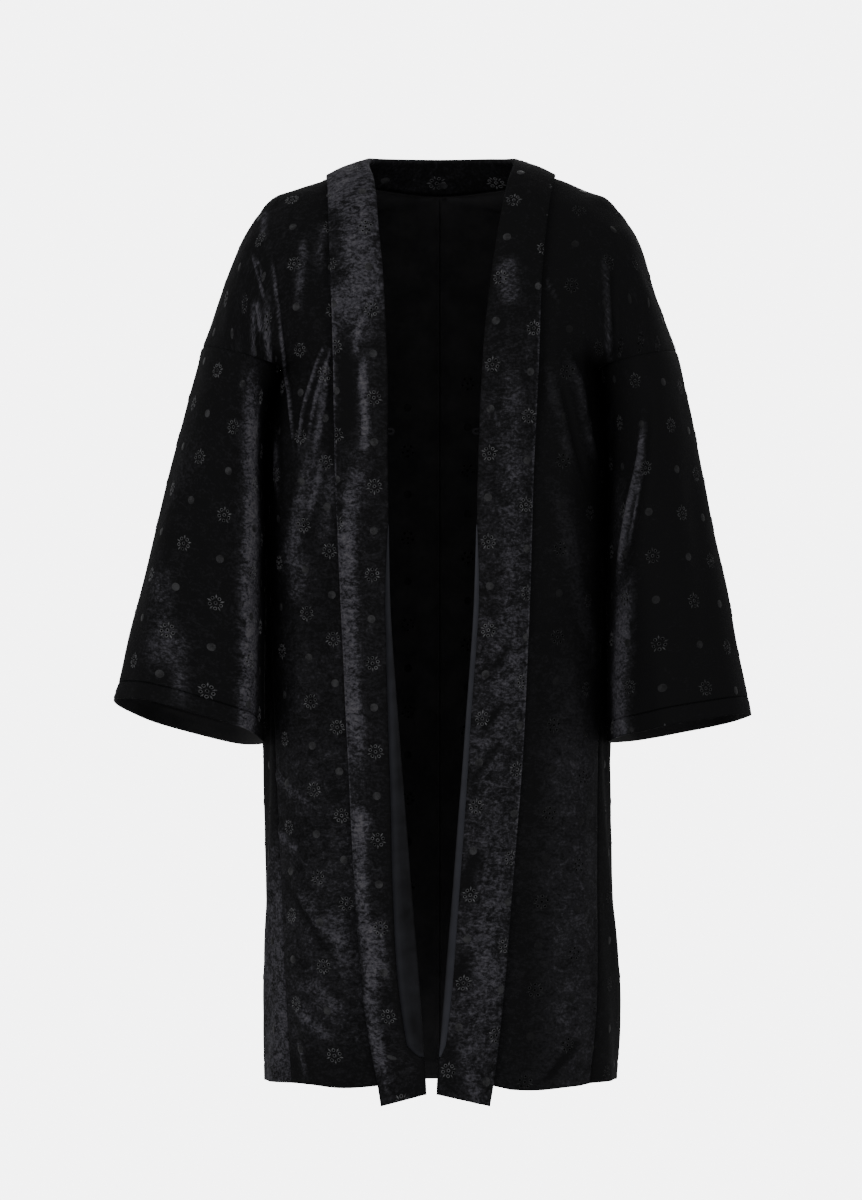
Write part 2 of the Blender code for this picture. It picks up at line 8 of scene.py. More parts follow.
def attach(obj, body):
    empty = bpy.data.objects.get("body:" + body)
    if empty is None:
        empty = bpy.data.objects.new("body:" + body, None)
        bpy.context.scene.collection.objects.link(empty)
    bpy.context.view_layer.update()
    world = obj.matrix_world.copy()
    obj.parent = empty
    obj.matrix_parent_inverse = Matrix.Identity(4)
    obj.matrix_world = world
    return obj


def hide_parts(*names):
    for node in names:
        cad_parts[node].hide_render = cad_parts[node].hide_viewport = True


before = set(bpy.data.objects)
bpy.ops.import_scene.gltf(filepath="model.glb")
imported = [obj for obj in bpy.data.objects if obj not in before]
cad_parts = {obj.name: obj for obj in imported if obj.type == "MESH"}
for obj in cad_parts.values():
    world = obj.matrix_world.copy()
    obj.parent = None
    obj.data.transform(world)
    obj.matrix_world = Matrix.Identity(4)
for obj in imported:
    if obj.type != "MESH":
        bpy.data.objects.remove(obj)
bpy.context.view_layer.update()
bpy.ops.object.select_all(action="DESELECT")

# ---------------------------------------------------------------- collar
# One band of crushed velvet from hem to hem round the neck, folded outwards along its length.
# Its inner edge is sewn to the body under the outer layer, whose free edge lies on the panels.
# Flowers of eyelets and round satin-stitched dots are worked into the cloth before it is cut.
MM = 0.001
RIGHT = -1                      # the wearer's right
LEFT = 1
FRONT = -1
BACK = 1
SIDE_NAME = {RIGHT: "right", LEFT: "left"}
WALL = 2.0 * MM                 # velvet
SEAM_GAP = 0.3 * MM             # between pieces that are sewn together
COLLAR_LAP = 12.0 * MM          # how far the folded collar covers its own seam
COLLAR_ROLL = 2.2 * MM          # radius of the collar's fold, at the middle of the cloth
COLLAR_REST = 3.4 * MM          # free edge of the collar above the body panel
EDGE_STAND = 0.25               # part of the outer layer's bulge that lifts its free edge
FRONT_HEM = -906.0 * MM
UNDERARM_ROW = 7                # rows of the collar at the underarm, the shoulder and the back
SHOULDER_ROW = 11
BACK_ROW = 13
NEARBY = 1.0 / 17.0             # share of a row over which the collar's way is read
INNER_COLUMNS = 8               # columns of its section: inner layer, fold and outer layer
ROLL_COLUMNS = 8
OUTER_COLUMNS = 18
FOLD_COLUMN = INNER_COLUMNS + ROLL_COLUMNS // 2

# The collar from its front end up to the shoulder and round to the centre back, in
# millimetres: heights and depths of its free edge and fold, their distance from the middle
# plane on each side, and how far the outer layer bulges.
CollarRow = namedtuple(
    "CollarRow",
    "edge_z fold_z edge_y fold_y right_edge right_fold left_edge left_fold crown")
COLLAR_ROWS = tuple(map(CollarRow._make, (
    (-929, -917, -103, -112, 58, 14, 49, -3, 1),
    (-903, -897, -103, -112, 62, 15, 53, -2, 2),
    (-825, -825, -103, -113, 75, 20, 62, 4, 2),
    (-725, -725, -104, -114, 83, 28, 70, 12, 3),
    (-585, -585, -105, -116, 90, 39, 81, 23, 3),
    (-430, -430, -106, -118, 97, 50, 88, 34, 3),
    (-300, -300, -106, -119, 103, 52, 92, 38, 3),
    (-190, -190, -105, -116, 105, 53, 97, 42, 4),
    (-112, -110, -97, -104, 108, 57, 100, 50, 4),
    (-57, -48, -77, -80, 110, 62, 105, 60, 4),
    (-20, -8, -45, -46, 111, 66, 110, 68, 3),
    (-2, 12, 0, -6, 111, 71, 113, 73, 2),
    (-15, 16, 52, 34, 88, 56, 90, 57, 3),
    (-27, 17, 84, 57, 0, 0, 0, 0, 4),
)))
COLLAR_LOOP = COLLAR_ROWS + COLLAR_ROWS[-2:-4:-1]       # and on past the centre back

# How much of the facing shows past the fold, by height.
FacingRow = namedtuple("FacingRow", "height right left")
FACING_ROWS = tuple(map(FacingRow._make, (
    (-345, 0, 0),
    (-425, 5, 5),
    (-585, 12, 6),
    (-775, 21, 8),
    (-868, 17, 6),
    (-884, 0, 0),
)))
NEAR_EDGES = (0.006, 0.02)      # extra rows of faces this share of a stretch from its ends


def blend(start, end, share):
    return start + (end - start) * share


def ease(value):
    """0 below 0 and 1 above 1, with a soft S between."""
    value = np.clip(value, 0.0, 1.0)
    return value * value * (3.0 - 2.0 * value)


def rise(value, start, span):
    """Rises softly from 0 to 1 from a start over a span, both in millimetres. With a negative
    span it rises the other way."""
    return ease((value / MM - start) / span)


def bell(distance, width):
    return np.exp(-(distance / width) ** 2)


def unit(vectors):
    return vectors / np.maximum(np.linalg.norm(vectors, axis=-1, keepdims=True), 1e-12)


def through(points, place):
    """Smooth curve through evenly numbered points or numbers, read at many places."""
    points = np.asarray(points, float)
    place = np.asarray(place, float)
    last = len(points) - 1
    index = np.clip(np.floor(place).astype(int), 0, last - 1)
    share = place - index
    if points.ndim == 2:
        share = share[..., None]
    padded = np.concatenate([[2.0 * points[0] - points[1]], points,
                             [2.0 * points[-1] - points[-2]]])
    before, near, far, after = (padded[index + step] for step in range(4))
    return 0.5 * (near * 2.0 + (far - before) * share
                  + (before * 2.0 - near * 5.0 + far * 4.0 - after) * share ** 2
                  + (near * 3.0 - before - far * 3.0 + after) * share ** 3)


def by_height(rows, column, height):
    """A table's column at many heights, read smoothly between its rows."""
    rows = sorted(rows, key=lambda row: row.height)
    heights = np.array([row.height * MM for row in rows])
    values = [getattr(row, column) * MM for row in rows]
    height = np.clip(height, heights[0], heights[-1])
    return through(values, np.interp(height, heights, np.arange(len(rows))))


def collar_lines(side, place):
    """Free edge, fold and opening edge of the collar at many places along its rows."""
    name = SIDE_NAME[side]
    ways = np.where(np.arange(len(COLLAR_LOOP)) > BACK_ROW, -side, side)
    edge, opening = (
        through(np.array([(way * getattr(row, f"{name}_{line}"), getattr(row, line + "_y"),
                           getattr(row, line + "_z")) for row, way in zip(COLLAR_LOOP, ways)])
                * MM, place) for line in ("edge", "fold"))
    show = np.maximum(0.0, by_height(FACING_ROWS, name, opening[..., 2]))
    fold = opening - unit(opening - edge) * show[..., None]
    return edge, fold, opening


def collar_frame(side, place):
    """Free edge, width to the fold, inward way, outward way and facing shown."""
    place = np.asarray(place, float)
    edge, fold, opening = collar_lines(side, place)
    ahead = collar_lines(side, place + NEARBY)[0] - collar_lines(side, place - NEARBY)[0]
    inward = unit(fold - edge)
    outward = unit(np.cross(inward, ahead)) * -side
    return (edge, np.linalg.norm(fold - edge, axis=-1), inward, outward,
            np.linalg.norm(opening - fold, axis=-1))


def collar_seam(side, place):
    """Where the body panel meets the collar, under the folded layer."""
    edge, _, inward, _, _ = collar_frame(side, place)
    return edge + inward * COLLAR_LAP


def run_length(points):
    """Length along rows of points from the first one."""
    steps = np.linalg.norm(np.diff(points, axis=0), axis=-1)
    return np.concatenate([np.zeros((1,) + steps.shape[1:]), np.cumsum(steps, axis=0)])


def run_across(points):
    """Length across each row of points from its first one."""
    return run_length(points.transpose(1, 0, 2)).T


def with_edges(steps, spots=()):
    """Even shares from 0 to 1, with more of them near the ends and at the given spots."""
    near = list(NEAR_EDGES) + [1.0 - share for share in NEAR_EDGES] + list(spots)
    shares = np.unique(np.concatenate([np.linspace(0.0, 1.0, steps + 1), near]))
    keep = np.concatenate([[True], np.diff(shares) > 0.15 / steps])
    keep[-1] = True
    return shares[keep]


LOW_SHARES = with_edges(119, (0.010, 0.014, 0.024, 0.0265, 0.029))
RING_SHARES = np.linspace(0.0, 1.0, 49)
NECK_SHARES = np.linspace(0.0, 1.0, 19)


def seam_places(side):
    """Places along the collar's rows, evenly spaced along its seam: up the front to the
    underarm, on to the shoulder, and round the neck to the centre back."""
    start = np.linspace(0.0, 2.0, 401)
    hem = np.interp(FRONT_HEM, collar_seam(side, start)[:, 2], start)
    stretches = []
    for first, last, shares in ((hem, UNDERARM_ROW, LOW_SHARES),
                                (UNDERARM_ROW, SHOULDER_ROW, RING_SHARES),
                                (SHOULDER_ROW, BACK_ROW, NECK_SHARES)):
        places = np.linspace(first, last, 321)
        lengths = run_length(collar_seam(side, places))
        stretches.append(np.interp(shares * lengths[-1], lengths, places))
    return stretches


def collar_sections(side, places):
    """The folded cloth's middle line at each place: seam, inner layer, fold, outer layer."""
    edge, width, inward, outward, _ = collar_frame(side, places)
    crown = through([row.crown * MM for row in COLLAR_LOOP], places)[:, None]
    roll_start = (width - COLLAR_ROLL)[:, None]
    seam = COLLAR_LAP + 0.5 * SEAM_GAP
    inner = np.linspace(0.0, 1.0, INNER_COLUMNS + 1)[None, :-1]
    turn = np.linspace(0.0, np.pi, ROLL_COLUMNS + 1)[None, :]
    outer = np.linspace(0.0, 1.0, OUTER_COLUMNS + 1)[None, 1:]
    lift = blend(2.0 * COLLAR_ROLL, COLLAR_REST + EDGE_STAND * crown, outer)
    across = np.concatenate([blend(seam, roll_start, inner),
                             roll_start + COLLAR_ROLL * np.sin(turn),
                             roll_start * (1.0 - outer)], axis=1)
    out = np.concatenate([np.zeros_like(across[:, :INNER_COLUMNS]),
                          COLLAR_ROLL * (1.0 - np.cos(turn)) + 0.0 * roll_start,
                          lift + crown * np.sin(np.pi * outer)], axis=1)
    return (edge[:, None] + inward[:, None] * across[..., None]
            + outward[:, None] * out[..., None])


# A crease or a soft fold: its path seen square on, in millimetres from the middle plane and
# above the shoulders, its half width, its height (a trough if negative) and how much painted
# highlight its cloth gets along it (painted shade where that is negative).
Crease = namedtuple("Crease", "path width height shine")
CREASE_FADE = 0.25              # share of a crease over which it fades at each end
CREASE_HOLLOW = 0.35            # depth of the hollow beside a ridge, as a share of its height
HOLLOW_OFFSET = 1.7             # how far off it lies, in half widths
FACE_ON = 0.35                  # cloth that looks this much forward or back has it in full


def crease_cloth(points, outward, creases, face):
    """Moves points out along their normals by the creases, and gives painted light and shade."""
    flat = points[..., [0, 2]] / MM
    facing = ease(face * outward[..., 1] / FACE_ON)
    push = np.zeros(flat.shape[:2])
    shine = np.zeros(flat.shape[:2])
    for crease in map(Crease._make, creases):
        path = np.array(crease.path, float)
        path = through(path, np.linspace(0.0, len(path) - 1, 6 * len(path) - 5))
        lengths = run_length(path)
        nearest = np.full(flat.shape[:2], np.inf)
        share = np.zeros(flat.shape[:2])
        aside = np.zeros(flat.shape[:2])
        for start, end, length in zip(path, path[1:], lengths):
            line = end - start
            along = np.clip((flat - start) @ line / (line @ line), 0.0, 1.0)
            off = flat - start - along[..., None] * line
            far = np.linalg.norm(off, axis=-1)
            closer = far < nearest
            nearest = np.where(closer, far, nearest)
            share = np.where(closer, (length + along * np.linalg.norm(line)) / lengths[-1],
                             share)
            way = np.sign(off[..., 0] * line[1] - off[..., 1] * line[0])
            aside = np.where(closer, way * far, aside)
        fade = ease(share / CREASE_FADE) * ease((1.0 - share) / CREASE_FADE) * facing
        ridge = bell(nearest, crease.width)
        hollow = bell(aside + HOLLOW_OFFSET * crease.width, crease.width)
        push += crease.height * MM * (ridge - CREASE_HOLLOW * hollow) * fade
        shine += crease.shine / (1.0 + (nearest / crease.width) ** 4) * fade
    return points + outward * push[..., None], shine


def outward_ways(points, sign, closed=False):
    """Unit normals of a sheet of points."""
    if closed:
        points = np.concatenate([points[:, -2:-1], points, points[:, 1:2]], axis=1)
    ways = np.cross(np.gradient(points, axis=1), np.gradient(points, axis=0))
    if closed:
        ways = ways[:, 1:-1]
    return unit(ways) * sign


def ripple(points, outward, size, height, seed):
    """Shallow unevenness of hanging cloth, of a given size and height."""
    flat = points.reshape(-1, 3) / (size * MM)
    lift = [noise.noise(Vector((x + seed, y - seed, 0.55 * z))) for x, y, z in flat]
    return points + outward * (np.reshape(lift, points.shape[:2]) * height * MM)[..., None]


UV_PER_METRE = 0.4              # cloth lengths in a UV map, so that it stays inside 0 to 1
Cloth = namedtuple("Cloth", "piece points outward across along")


def hang_cloth(name, points, outward, across, along, shine, right_side, wrong_side,
               closed=False):
    """A sheet of cloth through a grid of points, with its wall, both faces' materials, a UV
    map in cloth lengths and its painted light and shade as an attribute."""
    rows, columns = points.shape[:2]
    bpy.ops.mesh.primitive_grid_add(x_subdivisions=columns - 1, y_subdivisions=rows - 1, size=1)
    piece = bpy.context.object
    piece.name = name
    mesh = piece.data
    mesh.vertices.foreach_set("co", points.reshape(-1))
    corners = np.zeros(len(mesh.loops), int)
    mesh.loops.foreach_get("vertex_index", corners)
    lengths = np.stack([across, along], axis=-1).reshape(-1, 2) * UV_PER_METRE
    mesh.uv_layers[0].data.foreach_set("uv", lengths[corners].reshape(-1))
    # The painted light and shade go on the points as an attribute.
    pile_and_painted_light = mesh.attributes.new("pile_and_painted_light", "FLOAT", "POINT")
    pile_and_painted_light.data.foreach_set("value", shine.reshape(-1))
    mesh.update()
    middle = len(mesh.polygons) // 2
    faces_out = Vector(outward.reshape(-1, 3)[mesh.polygons[middle].vertices[0]])
    bpy.ops.object.mode_set(mode="EDIT")
    bpy.ops.mesh.select_all(action="SELECT")
    if mesh.polygons[middle].normal.dot(faces_out) < 0.0:
        bpy.ops.mesh.flip_normals()
    if closed:
        bpy.ops.mesh.remove_doubles(threshold=0.01 * MM)
    bpy.ops.object.mode_set(mode="OBJECT")
    mesh.materials.append(right_side)
    mesh.materials.append(wrong_side)
    wall = piece.modifiers.new("wall", "SOLIDIFY")
    wall.thickness = WALL
    wall.offset = 0.0
    wall.use_quality_normals = True
    wall.material_offset = 1
    bpy.ops.object.modifier_apply(modifier="wall")
    bpy.ops.object.shade_smooth()
    bpy.ops.object.select_all(action="DESELECT")
    return Cloth(piece, points, outward, across, along)


def new_finish(name, **surface):
    """A new material, a function that adds a node and gives one of its outputs, one that
    colours the surface by a value, and one that raises it by heights."""
    material = bpy.data.materials.new(name)
    material.use_nodes = True
    tree = material.node_tree
    shader = tree.nodes["Principled BSDF"]
    for socket, value in surface.items():
        shader.inputs[socket.replace("_", " ")].default_value = value

    def add(kind, output, inputs, **settings):
        node = tree.nodes.new("ShaderNode" + kind)
        for key, value in settings.items():
            setattr(node, key, value)
        for key, value in inputs.items():
            if isinstance(value, bpy.types.NodeSocket):
                tree.links.new(value, node.inputs[key])
            else:
                node.inputs[key].default_value = value
        return node.outputs[output]

    def colour(value, *stops):
        shade = tree.nodes.new("ShaderNodeValToRGB")
        tree.links.new(value, shade.inputs["Fac"])
        elements = shade.color_ramp.elements
        elements[0].position, elements[1].position = stops[0][0], stops[-1][0]
        for place, *_ in stops[1:-1]:
            elements.new(place)
        for element, (_, *tone) in zip(elements, stops):
            element.color = (*tone, 1.0)
        tree.links.new(shade.outputs["Color"], shader.inputs["Base Color"])

    def relief(*heights):
        under = {}
        for height, strength, distance in heights:
            under["Normal"] = add("Bump", "Normal", {
                "Height": height, "Strength": strength, "Distance": distance, **under})
        tree.links.new(under["Normal"], shader.inputs["Normal"])

    return material, add, colour, relief


def sum_of(add, value, factor, more):
    """A value times a factor, and something added to it."""
    return add("Math", 0, {0: value, 1: factor, 2: more}, operation="MULTIPLY_ADD")


def cloth_metres(add):
    """A place on the cloth, in metres across and along it."""
    return add("Mapping", "Vector", {"Vector": add("UVMap", "UV", {}),
                                     "Scale": (1.0 / UV_PER_METRE,) * 3})


def crushed_velvet(name, depth):
    """Black velvet crushed in ragged streaks of lighter tone, with the cloth's painted light and
    shade added to its colour: depth is how unevenly the streaks are crushed."""
    material, add, colour, relief = new_finish(
        name, Roughness=0.7, Specular_IOR_Level=0.01, Sheen_Weight=0.005,
        Sheen_Roughness=0.3, Sheen_Tint=(0.80, 0.82, 0.95, 1.0))
    metres = cloth_metres(add)
    long_way = add("Mapping", "Vector", {"Vector": metres, "Scale": (0.75, 1.0, 1.0)})
    ragged = add("TexNoise", "Fac", {"Vector": long_way, "Scale": 120.0, "Detail": 6.0,
                                     "Roughness": 0.75, "Distortion": 0.9})
    tufts = add("TexNoise", "Fac", {"Vector": long_way, "Scale": 380.0, "Detail": 3.0,
                                    "Roughness": 0.7})
    drift = add("TexNoise", "Fac", {"Vector": metres, "Scale": 21.0})
    # Painted light and shade from the cloth's attribute lighten or darken its colour.
    pile_and_painted_light = add("Attribute", "Fac", {}, attribute_name="pile_and_painted_light")
    crushed = sum_of(add, tufts, 1.45, sum_of(add, drift, 0.5, sum_of(add, ragged, 1.7, -1.825)))
    smoother = sum_of(add, pile_and_painted_light, -1.2, 2.6)
    share = add("Math", 0, {0: pile_and_painted_light, 1: smoother}, operation="MULTIPLY")
    uneven = sum_of(add, share, depth, 0.45 * depth)
    streaks_and_painted_light = sum_of(add, crushed, uneven, pile_and_painted_light)
    colour(add("MapRange", "Result", {"Value": streaks_and_painted_light, "From Max": 1.5}),
           (0.06, 0.0066, 0.0066, 0.0069), (0.32, 0.0148, 0.0146, 0.0162),
           (0.66, 0.0500, 0.0484, 0.0568), (1.0, 0.085, 0.081, 0.087))
    relief((ragged, 0.5, 1.4 * MM), (tufts, 0.5, 0.4 * MM))
    return material


def woven_back():
    """The wrong side of the velvet: a plain, close, matt ground weave."""
    material, add, colour, relief = new_finish(
        "velvet_wrong_side", Roughness=0.85, Specular_IOR_Level=0.2)
    metres = cloth_metres(add)
    warp, weft = (add("TexWave", "Fac", {"Vector": metres, "Scale": 260.0, "Distortion": 0.4},
                      bands_direction=way) for way in "XY")
    cloudy = add("TexNoise", "Fac", {"Vector": metres, "Scale": 30.0, "Detail": 4.0})
    colour(cloudy, (0.35, 0.008, 0.008, 0.009), (0.7, 0.017, 0.0166, 0.0175))
    relief((add("Math", 0, {0: warp, 1: weft}, operation="ADD"), 0.3, 0.3 * MM))
    return material


wrong_side = woven_back()
collar_velvet = crushed_velvet("collar_velvet", depth=1.0)


def embroidery_thread(name, dark, light):
    """Twisted satin thread, a little lighter than the velvet's nap."""
    material, add, colour, relief = new_finish(name, Roughness=0.5, Specular_IOR_Level=0.05)
    place = add("TexCoord", "Object", {})
    strands = add("TexNoise", "Fac", {"Vector": place, "Scale": 1500.0})
    uneven = add("TexNoise", "Fac", {"Vector": place, "Scale": 170.0, "Detail": 1.0})
    both = add("Math", 0, {0: strands, 1: uneven}, operation="ADD")
    colour(add("Math", 0, {0: both, 1: 0.5}, operation="MULTIPLY"),
           (0.38, dark, dark, 1.05 * dark), (0.62, light, light, 1.05 * light))
    relief((strands, 0.4, 0.3 * MM))
    return material


def painted_eyelet_shadow():
    """A dark disc of painted shadow that closes an eyelet's hole."""
    material, add, colour, _ = new_finish(
        "painted_eyelet_shadow", Roughness=0.95, Specular_IOR_Level=0.05)
    lint = add("TexNoise", "Fac", {"Vector": add("TexCoord", "Object", {}), "Scale": 2500.0})
    colour(lint, (0.0, 0.0004, 0.0004, 0.0005), (1.0, 0.0015, 0.0015, 0.0016))
    return material


def thread_set(kind, flower, dot):
    """The threads of flowers and dots, each from dark to light, and the eyelets' painted shadow.
    """
    return (embroidery_thread(kind + "eyelet_thread", *flower), eyelet_shadow_finish,
            embroidery_thread(kind + "dot_thread", *dot))


eyelet_shadow_finish = painted_eyelet_shadow()
# Lit and shaded copies of one thread, as painted light and shade: lit, half shaded, shaded.
lit_threads = thread_set("", (0.014, 0.105), (0.010, 0.037))
half_shaded_threads = thread_set("half_shaded_", (0.009, 0.052), (0.008, 0.018))
shaded_threads = thread_set("shaded_", (0.007, 0.025), (0.006, 0.010))

PATTERN_COLUMN = 39.0 * MM      # between columns of motifs
PATTERN_STEP = 44.0 * MM        # between a flower and the next dot in its column
PATTERN_SLANT = 7.0 * MM        # how far each column lies below the one to its right
EYELET_RING = 5.5 * MM          # from a flower's middle to the eyelets round it
EYELET_RIM = 1.9 * MM
EYELET_CREST = 1.5 * MM
EYELET_HOLE = 1.1 * MM
EYELET_SIDES = 7
LEAF_REACH = 6.5 * MM
LEAF_LENGTH = 4.8 * MM
LEAF_WIDTH = 1.5 * MM
DOT_SIZE = 4.1 * MM
STITCH_HEIGHT = 0.45 * MM
STITCH_LIFT = 0.1 * MM          # of the lowest stitches off the cloth
MOST_MISS = 0.6 * MM            # off its place that a point of a motif may be found
SEARCH_ROUNDS = 12
SEARCH_STEP = 4.0               # most rows or columns that one round moves


def template(parts):
    """Joins modelled parts and gives their points, faces and materials, then clears them."""
    bpy.ops.object.select_all(action="DESELECT")
    for part in parts:
        part.select_set(True)
    bpy.context.view_layer.objects.active = parts[0]
    if len(parts) > 1:
        bpy.ops.object.join()
    joined = bpy.context.object
    mesh = joined.data
    points = np.array([vert.co for vert in mesh.vertices])
    faces = [tuple(face.vertices) for face in mesh.polygons]
    # The eyelets' middle faces, which take the painted shadow.
    holes = [int(len(face.vertices) == EYELET_SIDES) for face in mesh.polygons]
    bpy.data.objects.remove(joined, do_unlink=True)
    return points, faces, holes


def raised_patch(corners, rings, x, y):
    """A flat patch whose middle is inset and lifted ring by ring, as stitches pull it up."""
    bpy.ops.mesh.primitive_circle_add(vertices=corners, radius=rings[0][0], fill_type="NGON")
    patch = bpy.context.object
    bpy.ops.object.mode_set(mode="EDIT")
    bpy.ops.mesh.select_all(action="SELECT")
    for (radius, low), (inner, high) in zip(rings, rings[1:]):
        bpy.ops.mesh.inset(thickness=(radius - inner) * np.cos(np.pi / corners))
        bpy.ops.transform.translate(value=(0.0, 0.0, high - low))
    if corners != EYELET_SIDES:
        bpy.ops.mesh.poke()
    bpy.ops.object.mode_set(mode="OBJECT")
    patch.location = (x, y, 0.0)
    bpy.ops.object.transform_apply(location=True, rotation=False, scale=False)
    return patch


def eyelet(x, y):
    return raised_patch(EYELET_SIDES, ((EYELET_RIM, 0.0), (EYELET_CREST, STITCH_HEIGHT),
                                       (EYELET_HOLE, 0.0)), x, y)


def model_flower():
    """An eyelet with five more round it and a pointed satin leaf between each two."""
    parts = [eyelet(0.0, 0.0)]
    for spoke in range(5):
        turn = 0.5 * np.pi + 0.4 * np.pi * spoke
        parts.append(eyelet(EYELET_RING * np.cos(turn), EYELET_RING * np.sin(turn)))
        turn += 0.2 * np.pi
        bpy.ops.mesh.primitive_cone_add(vertices=4, radius1=1.0, radius2=0.0, depth=1.0,
                                        end_fill_type="NOTHING", location=(0.0, 0.0, 0.5))
        leaf = bpy.context.object
        bpy.ops.object.transform_apply(location=True)
        leaf.scale = (0.5 * LEAF_LENGTH, 0.5 * LEAF_WIDTH, STITCH_HEIGHT)
        leaf.rotation_euler = (0.0, 0.0, turn)
        leaf.location = (LEAF_REACH * np.cos(turn), LEAF_REACH * np.sin(turn), 0.0)
        bpy.ops.object.transform_apply(location=True, rotation=True, scale=True)
        parts.append(leaf)
    return template(parts)


flower_shape = model_flower()
dot_shape = template([raised_patch(11, ((DOT_SIZE, 0.0), (0.7 * DOT_SIZE, STITCH_HEIGHT)),
                                   0.0, 0.0)])


def read_grid(grid, row, column):
    """A grid's value between its points."""
    r0 = np.clip(np.floor(row).astype(int), 0, grid.shape[0] - 2)
    c0 = np.clip(np.floor(column).astype(int), 0, grid.shape[1] - 2)
    down = row - r0
    over = column - c0
    if grid.ndim == 3:
        down, over = down[..., None], over[..., None]
    return ((grid[r0, c0] * (1 - over) + grid[r0, c0 + 1] * over) * (1 - down)
            + (grid[r0 + 1, c0] * (1 - over) + grid[r0 + 1, c0 + 1] * over) * down)


def find_on_cloth(cloth, across, along, row, column):
    """Grid places where the cloth lengths have the given values, and whether they exist."""
    rows, columns = cloth.across.shape
    slopes = [np.gradient(lengths, axis=axis)
              for lengths in (cloth.across, cloth.along) for axis in (0, 1)]
    for _ in range(SEARCH_ROUNDS):
        miss_across = across - read_grid(cloth.across, row, column)
        miss_along = along - read_grid(cloth.along, row, column)
        ar, ac, lr, lc = (read_grid(slope, row, column) for slope in slopes)
        scale = ar * lc - ac * lr
        scale = np.where(np.abs(scale) < 1e-12, 1e-12, scale)
        down, over = (np.clip(step / scale, -SEARCH_STEP, SEARCH_STEP)
                      for step in (miss_across * lc - miss_along * ac,
                                   miss_along * ar - miss_across * lr))
        row = np.clip(row + down, -1.0, rows)
        column = np.clip(column + over, -1.0, columns)
    found = (row >= 0.0) & (row <= rows - 1) & (column >= 0.0) & (column <= columns - 1)
    for value, lengths in ((across, cloth.across), (along, cloth.along)):
        found &= np.abs(value - read_grid(lengths, row, column)) < MOST_MISS
    return row, column, found


def pattern_sites(cloth, flower_across, flower_along, slant=1, rows=None):
    """Cloth lengths of all flowers and dots of the repeat that has a flower at one place."""
    sites = {0: [], 1: []}
    low_u, high_u = cloth.across.min(), cloth.across.max()
    low_v, high_v = cloth.along.min(), cloth.along.max()
    first = int(np.floor((low_u - flower_across) / PATTERN_COLUMN)) - 1
    last = int(np.ceil((high_u - flower_across) / PATTERN_COLUMN)) + 1
    for column in range(first, last + 1):
        offset = flower_along + column * PATTERN_SLANT * slant
        low = int(np.floor((low_v - offset) / PATTERN_STEP)) - 1
        high = int(np.ceil((high_v - offset) / PATTERN_STEP)) + 1
        for step in range(low, high + 1):
            place = (flower_across + column * PATTERN_COLUMN, offset + step * PATTERN_STEP)
            if rows is None or rows[0] < place[1] < rows[1]:
                sites[(column + step) % 2].append(place)
    return sites


def embroider(name, cloth, sites, threads, face=1.0):
    """One mesh of all motifs on a sheet, laid on its surface point by point and cut off at
    its seams."""
    all_points, all_faces, all_dark = [], [], []
    count = 0
    for kind, (points, faces, dark) in enumerate((flower_shape, dot_shape)):
        places = np.array(sites[kind])
        near = [np.argmin((cloth.across - u) ** 2 + (cloth.along - v) ** 2)
                for u, v in places]
        start_row, start_column = np.unravel_index(near, cloth.across.shape)
        shape = (len(places), len(points))
        row, column, found = find_on_cloth(
            cloth, places[:, :1] + points[None, :, 0], places[:, 1:] + points[None, :, 1],
            np.broadcast_to(start_row[:, None], shape).astype(float),
            np.broadcast_to(start_column[:, None], shape).astype(float))
        out = unit(read_grid(cloth.outward, row, column)) * face
        height = 0.5 * WALL + STITCH_LIFT + points[None, :, 2]
        laid = read_grid(cloth.points, row, column) + out * height[..., None]
        for site in range(len(places)):
            kept = [index for index, corners in enumerate(faces)
                    if found[site, list(corners)].all()]
            if not kept or (kind == 1 and not found[site].any(axis=0)):
                continue
            used = sorted({corner for index in kept for corner in faces[index]})
            renumber = {corner: count + index for index, corner in enumerate(used)}
            all_points += list(laid[site, used])
            all_faces += [tuple(renumber[corner] for corner in faces[index])
                          for index in kept]
            all_dark += [2 * kind + dark[index] for index in kept]
            count += len(used)
    bpy.ops.mesh.primitive_plane_add()
    piece = bpy.context.object
    piece.name = name
    piece.data.clear_geometry()
    piece.data.from_pydata(all_points, [], all_faces)
    for finish in threads:
        piece.data.materials.append(finish)
    piece.data.polygons.foreach_set("material_index", all_dark)
    piece.data.update()
    bpy.ops.object.mode_set(mode="EDIT")
    bpy.ops.mesh.select_all(action="SELECT")
    bpy.ops.mesh.normals_make_consistent(inside=False)
    bpy.ops.object.mode_set(mode="OBJECT")
    bpy.ops.object.shade_smooth_by_angle(angle=0.9)
    bpy.ops.object.select_all(action="DESELECT")
    return piece


def dress(cloth, node, motifs=()):
    """Puts a finished sheet and what is sewn on it in the place of its solid."""
    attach(cloth.piece, "root")
    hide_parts(node)
    for motif in motifs:
        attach(motif, "root")
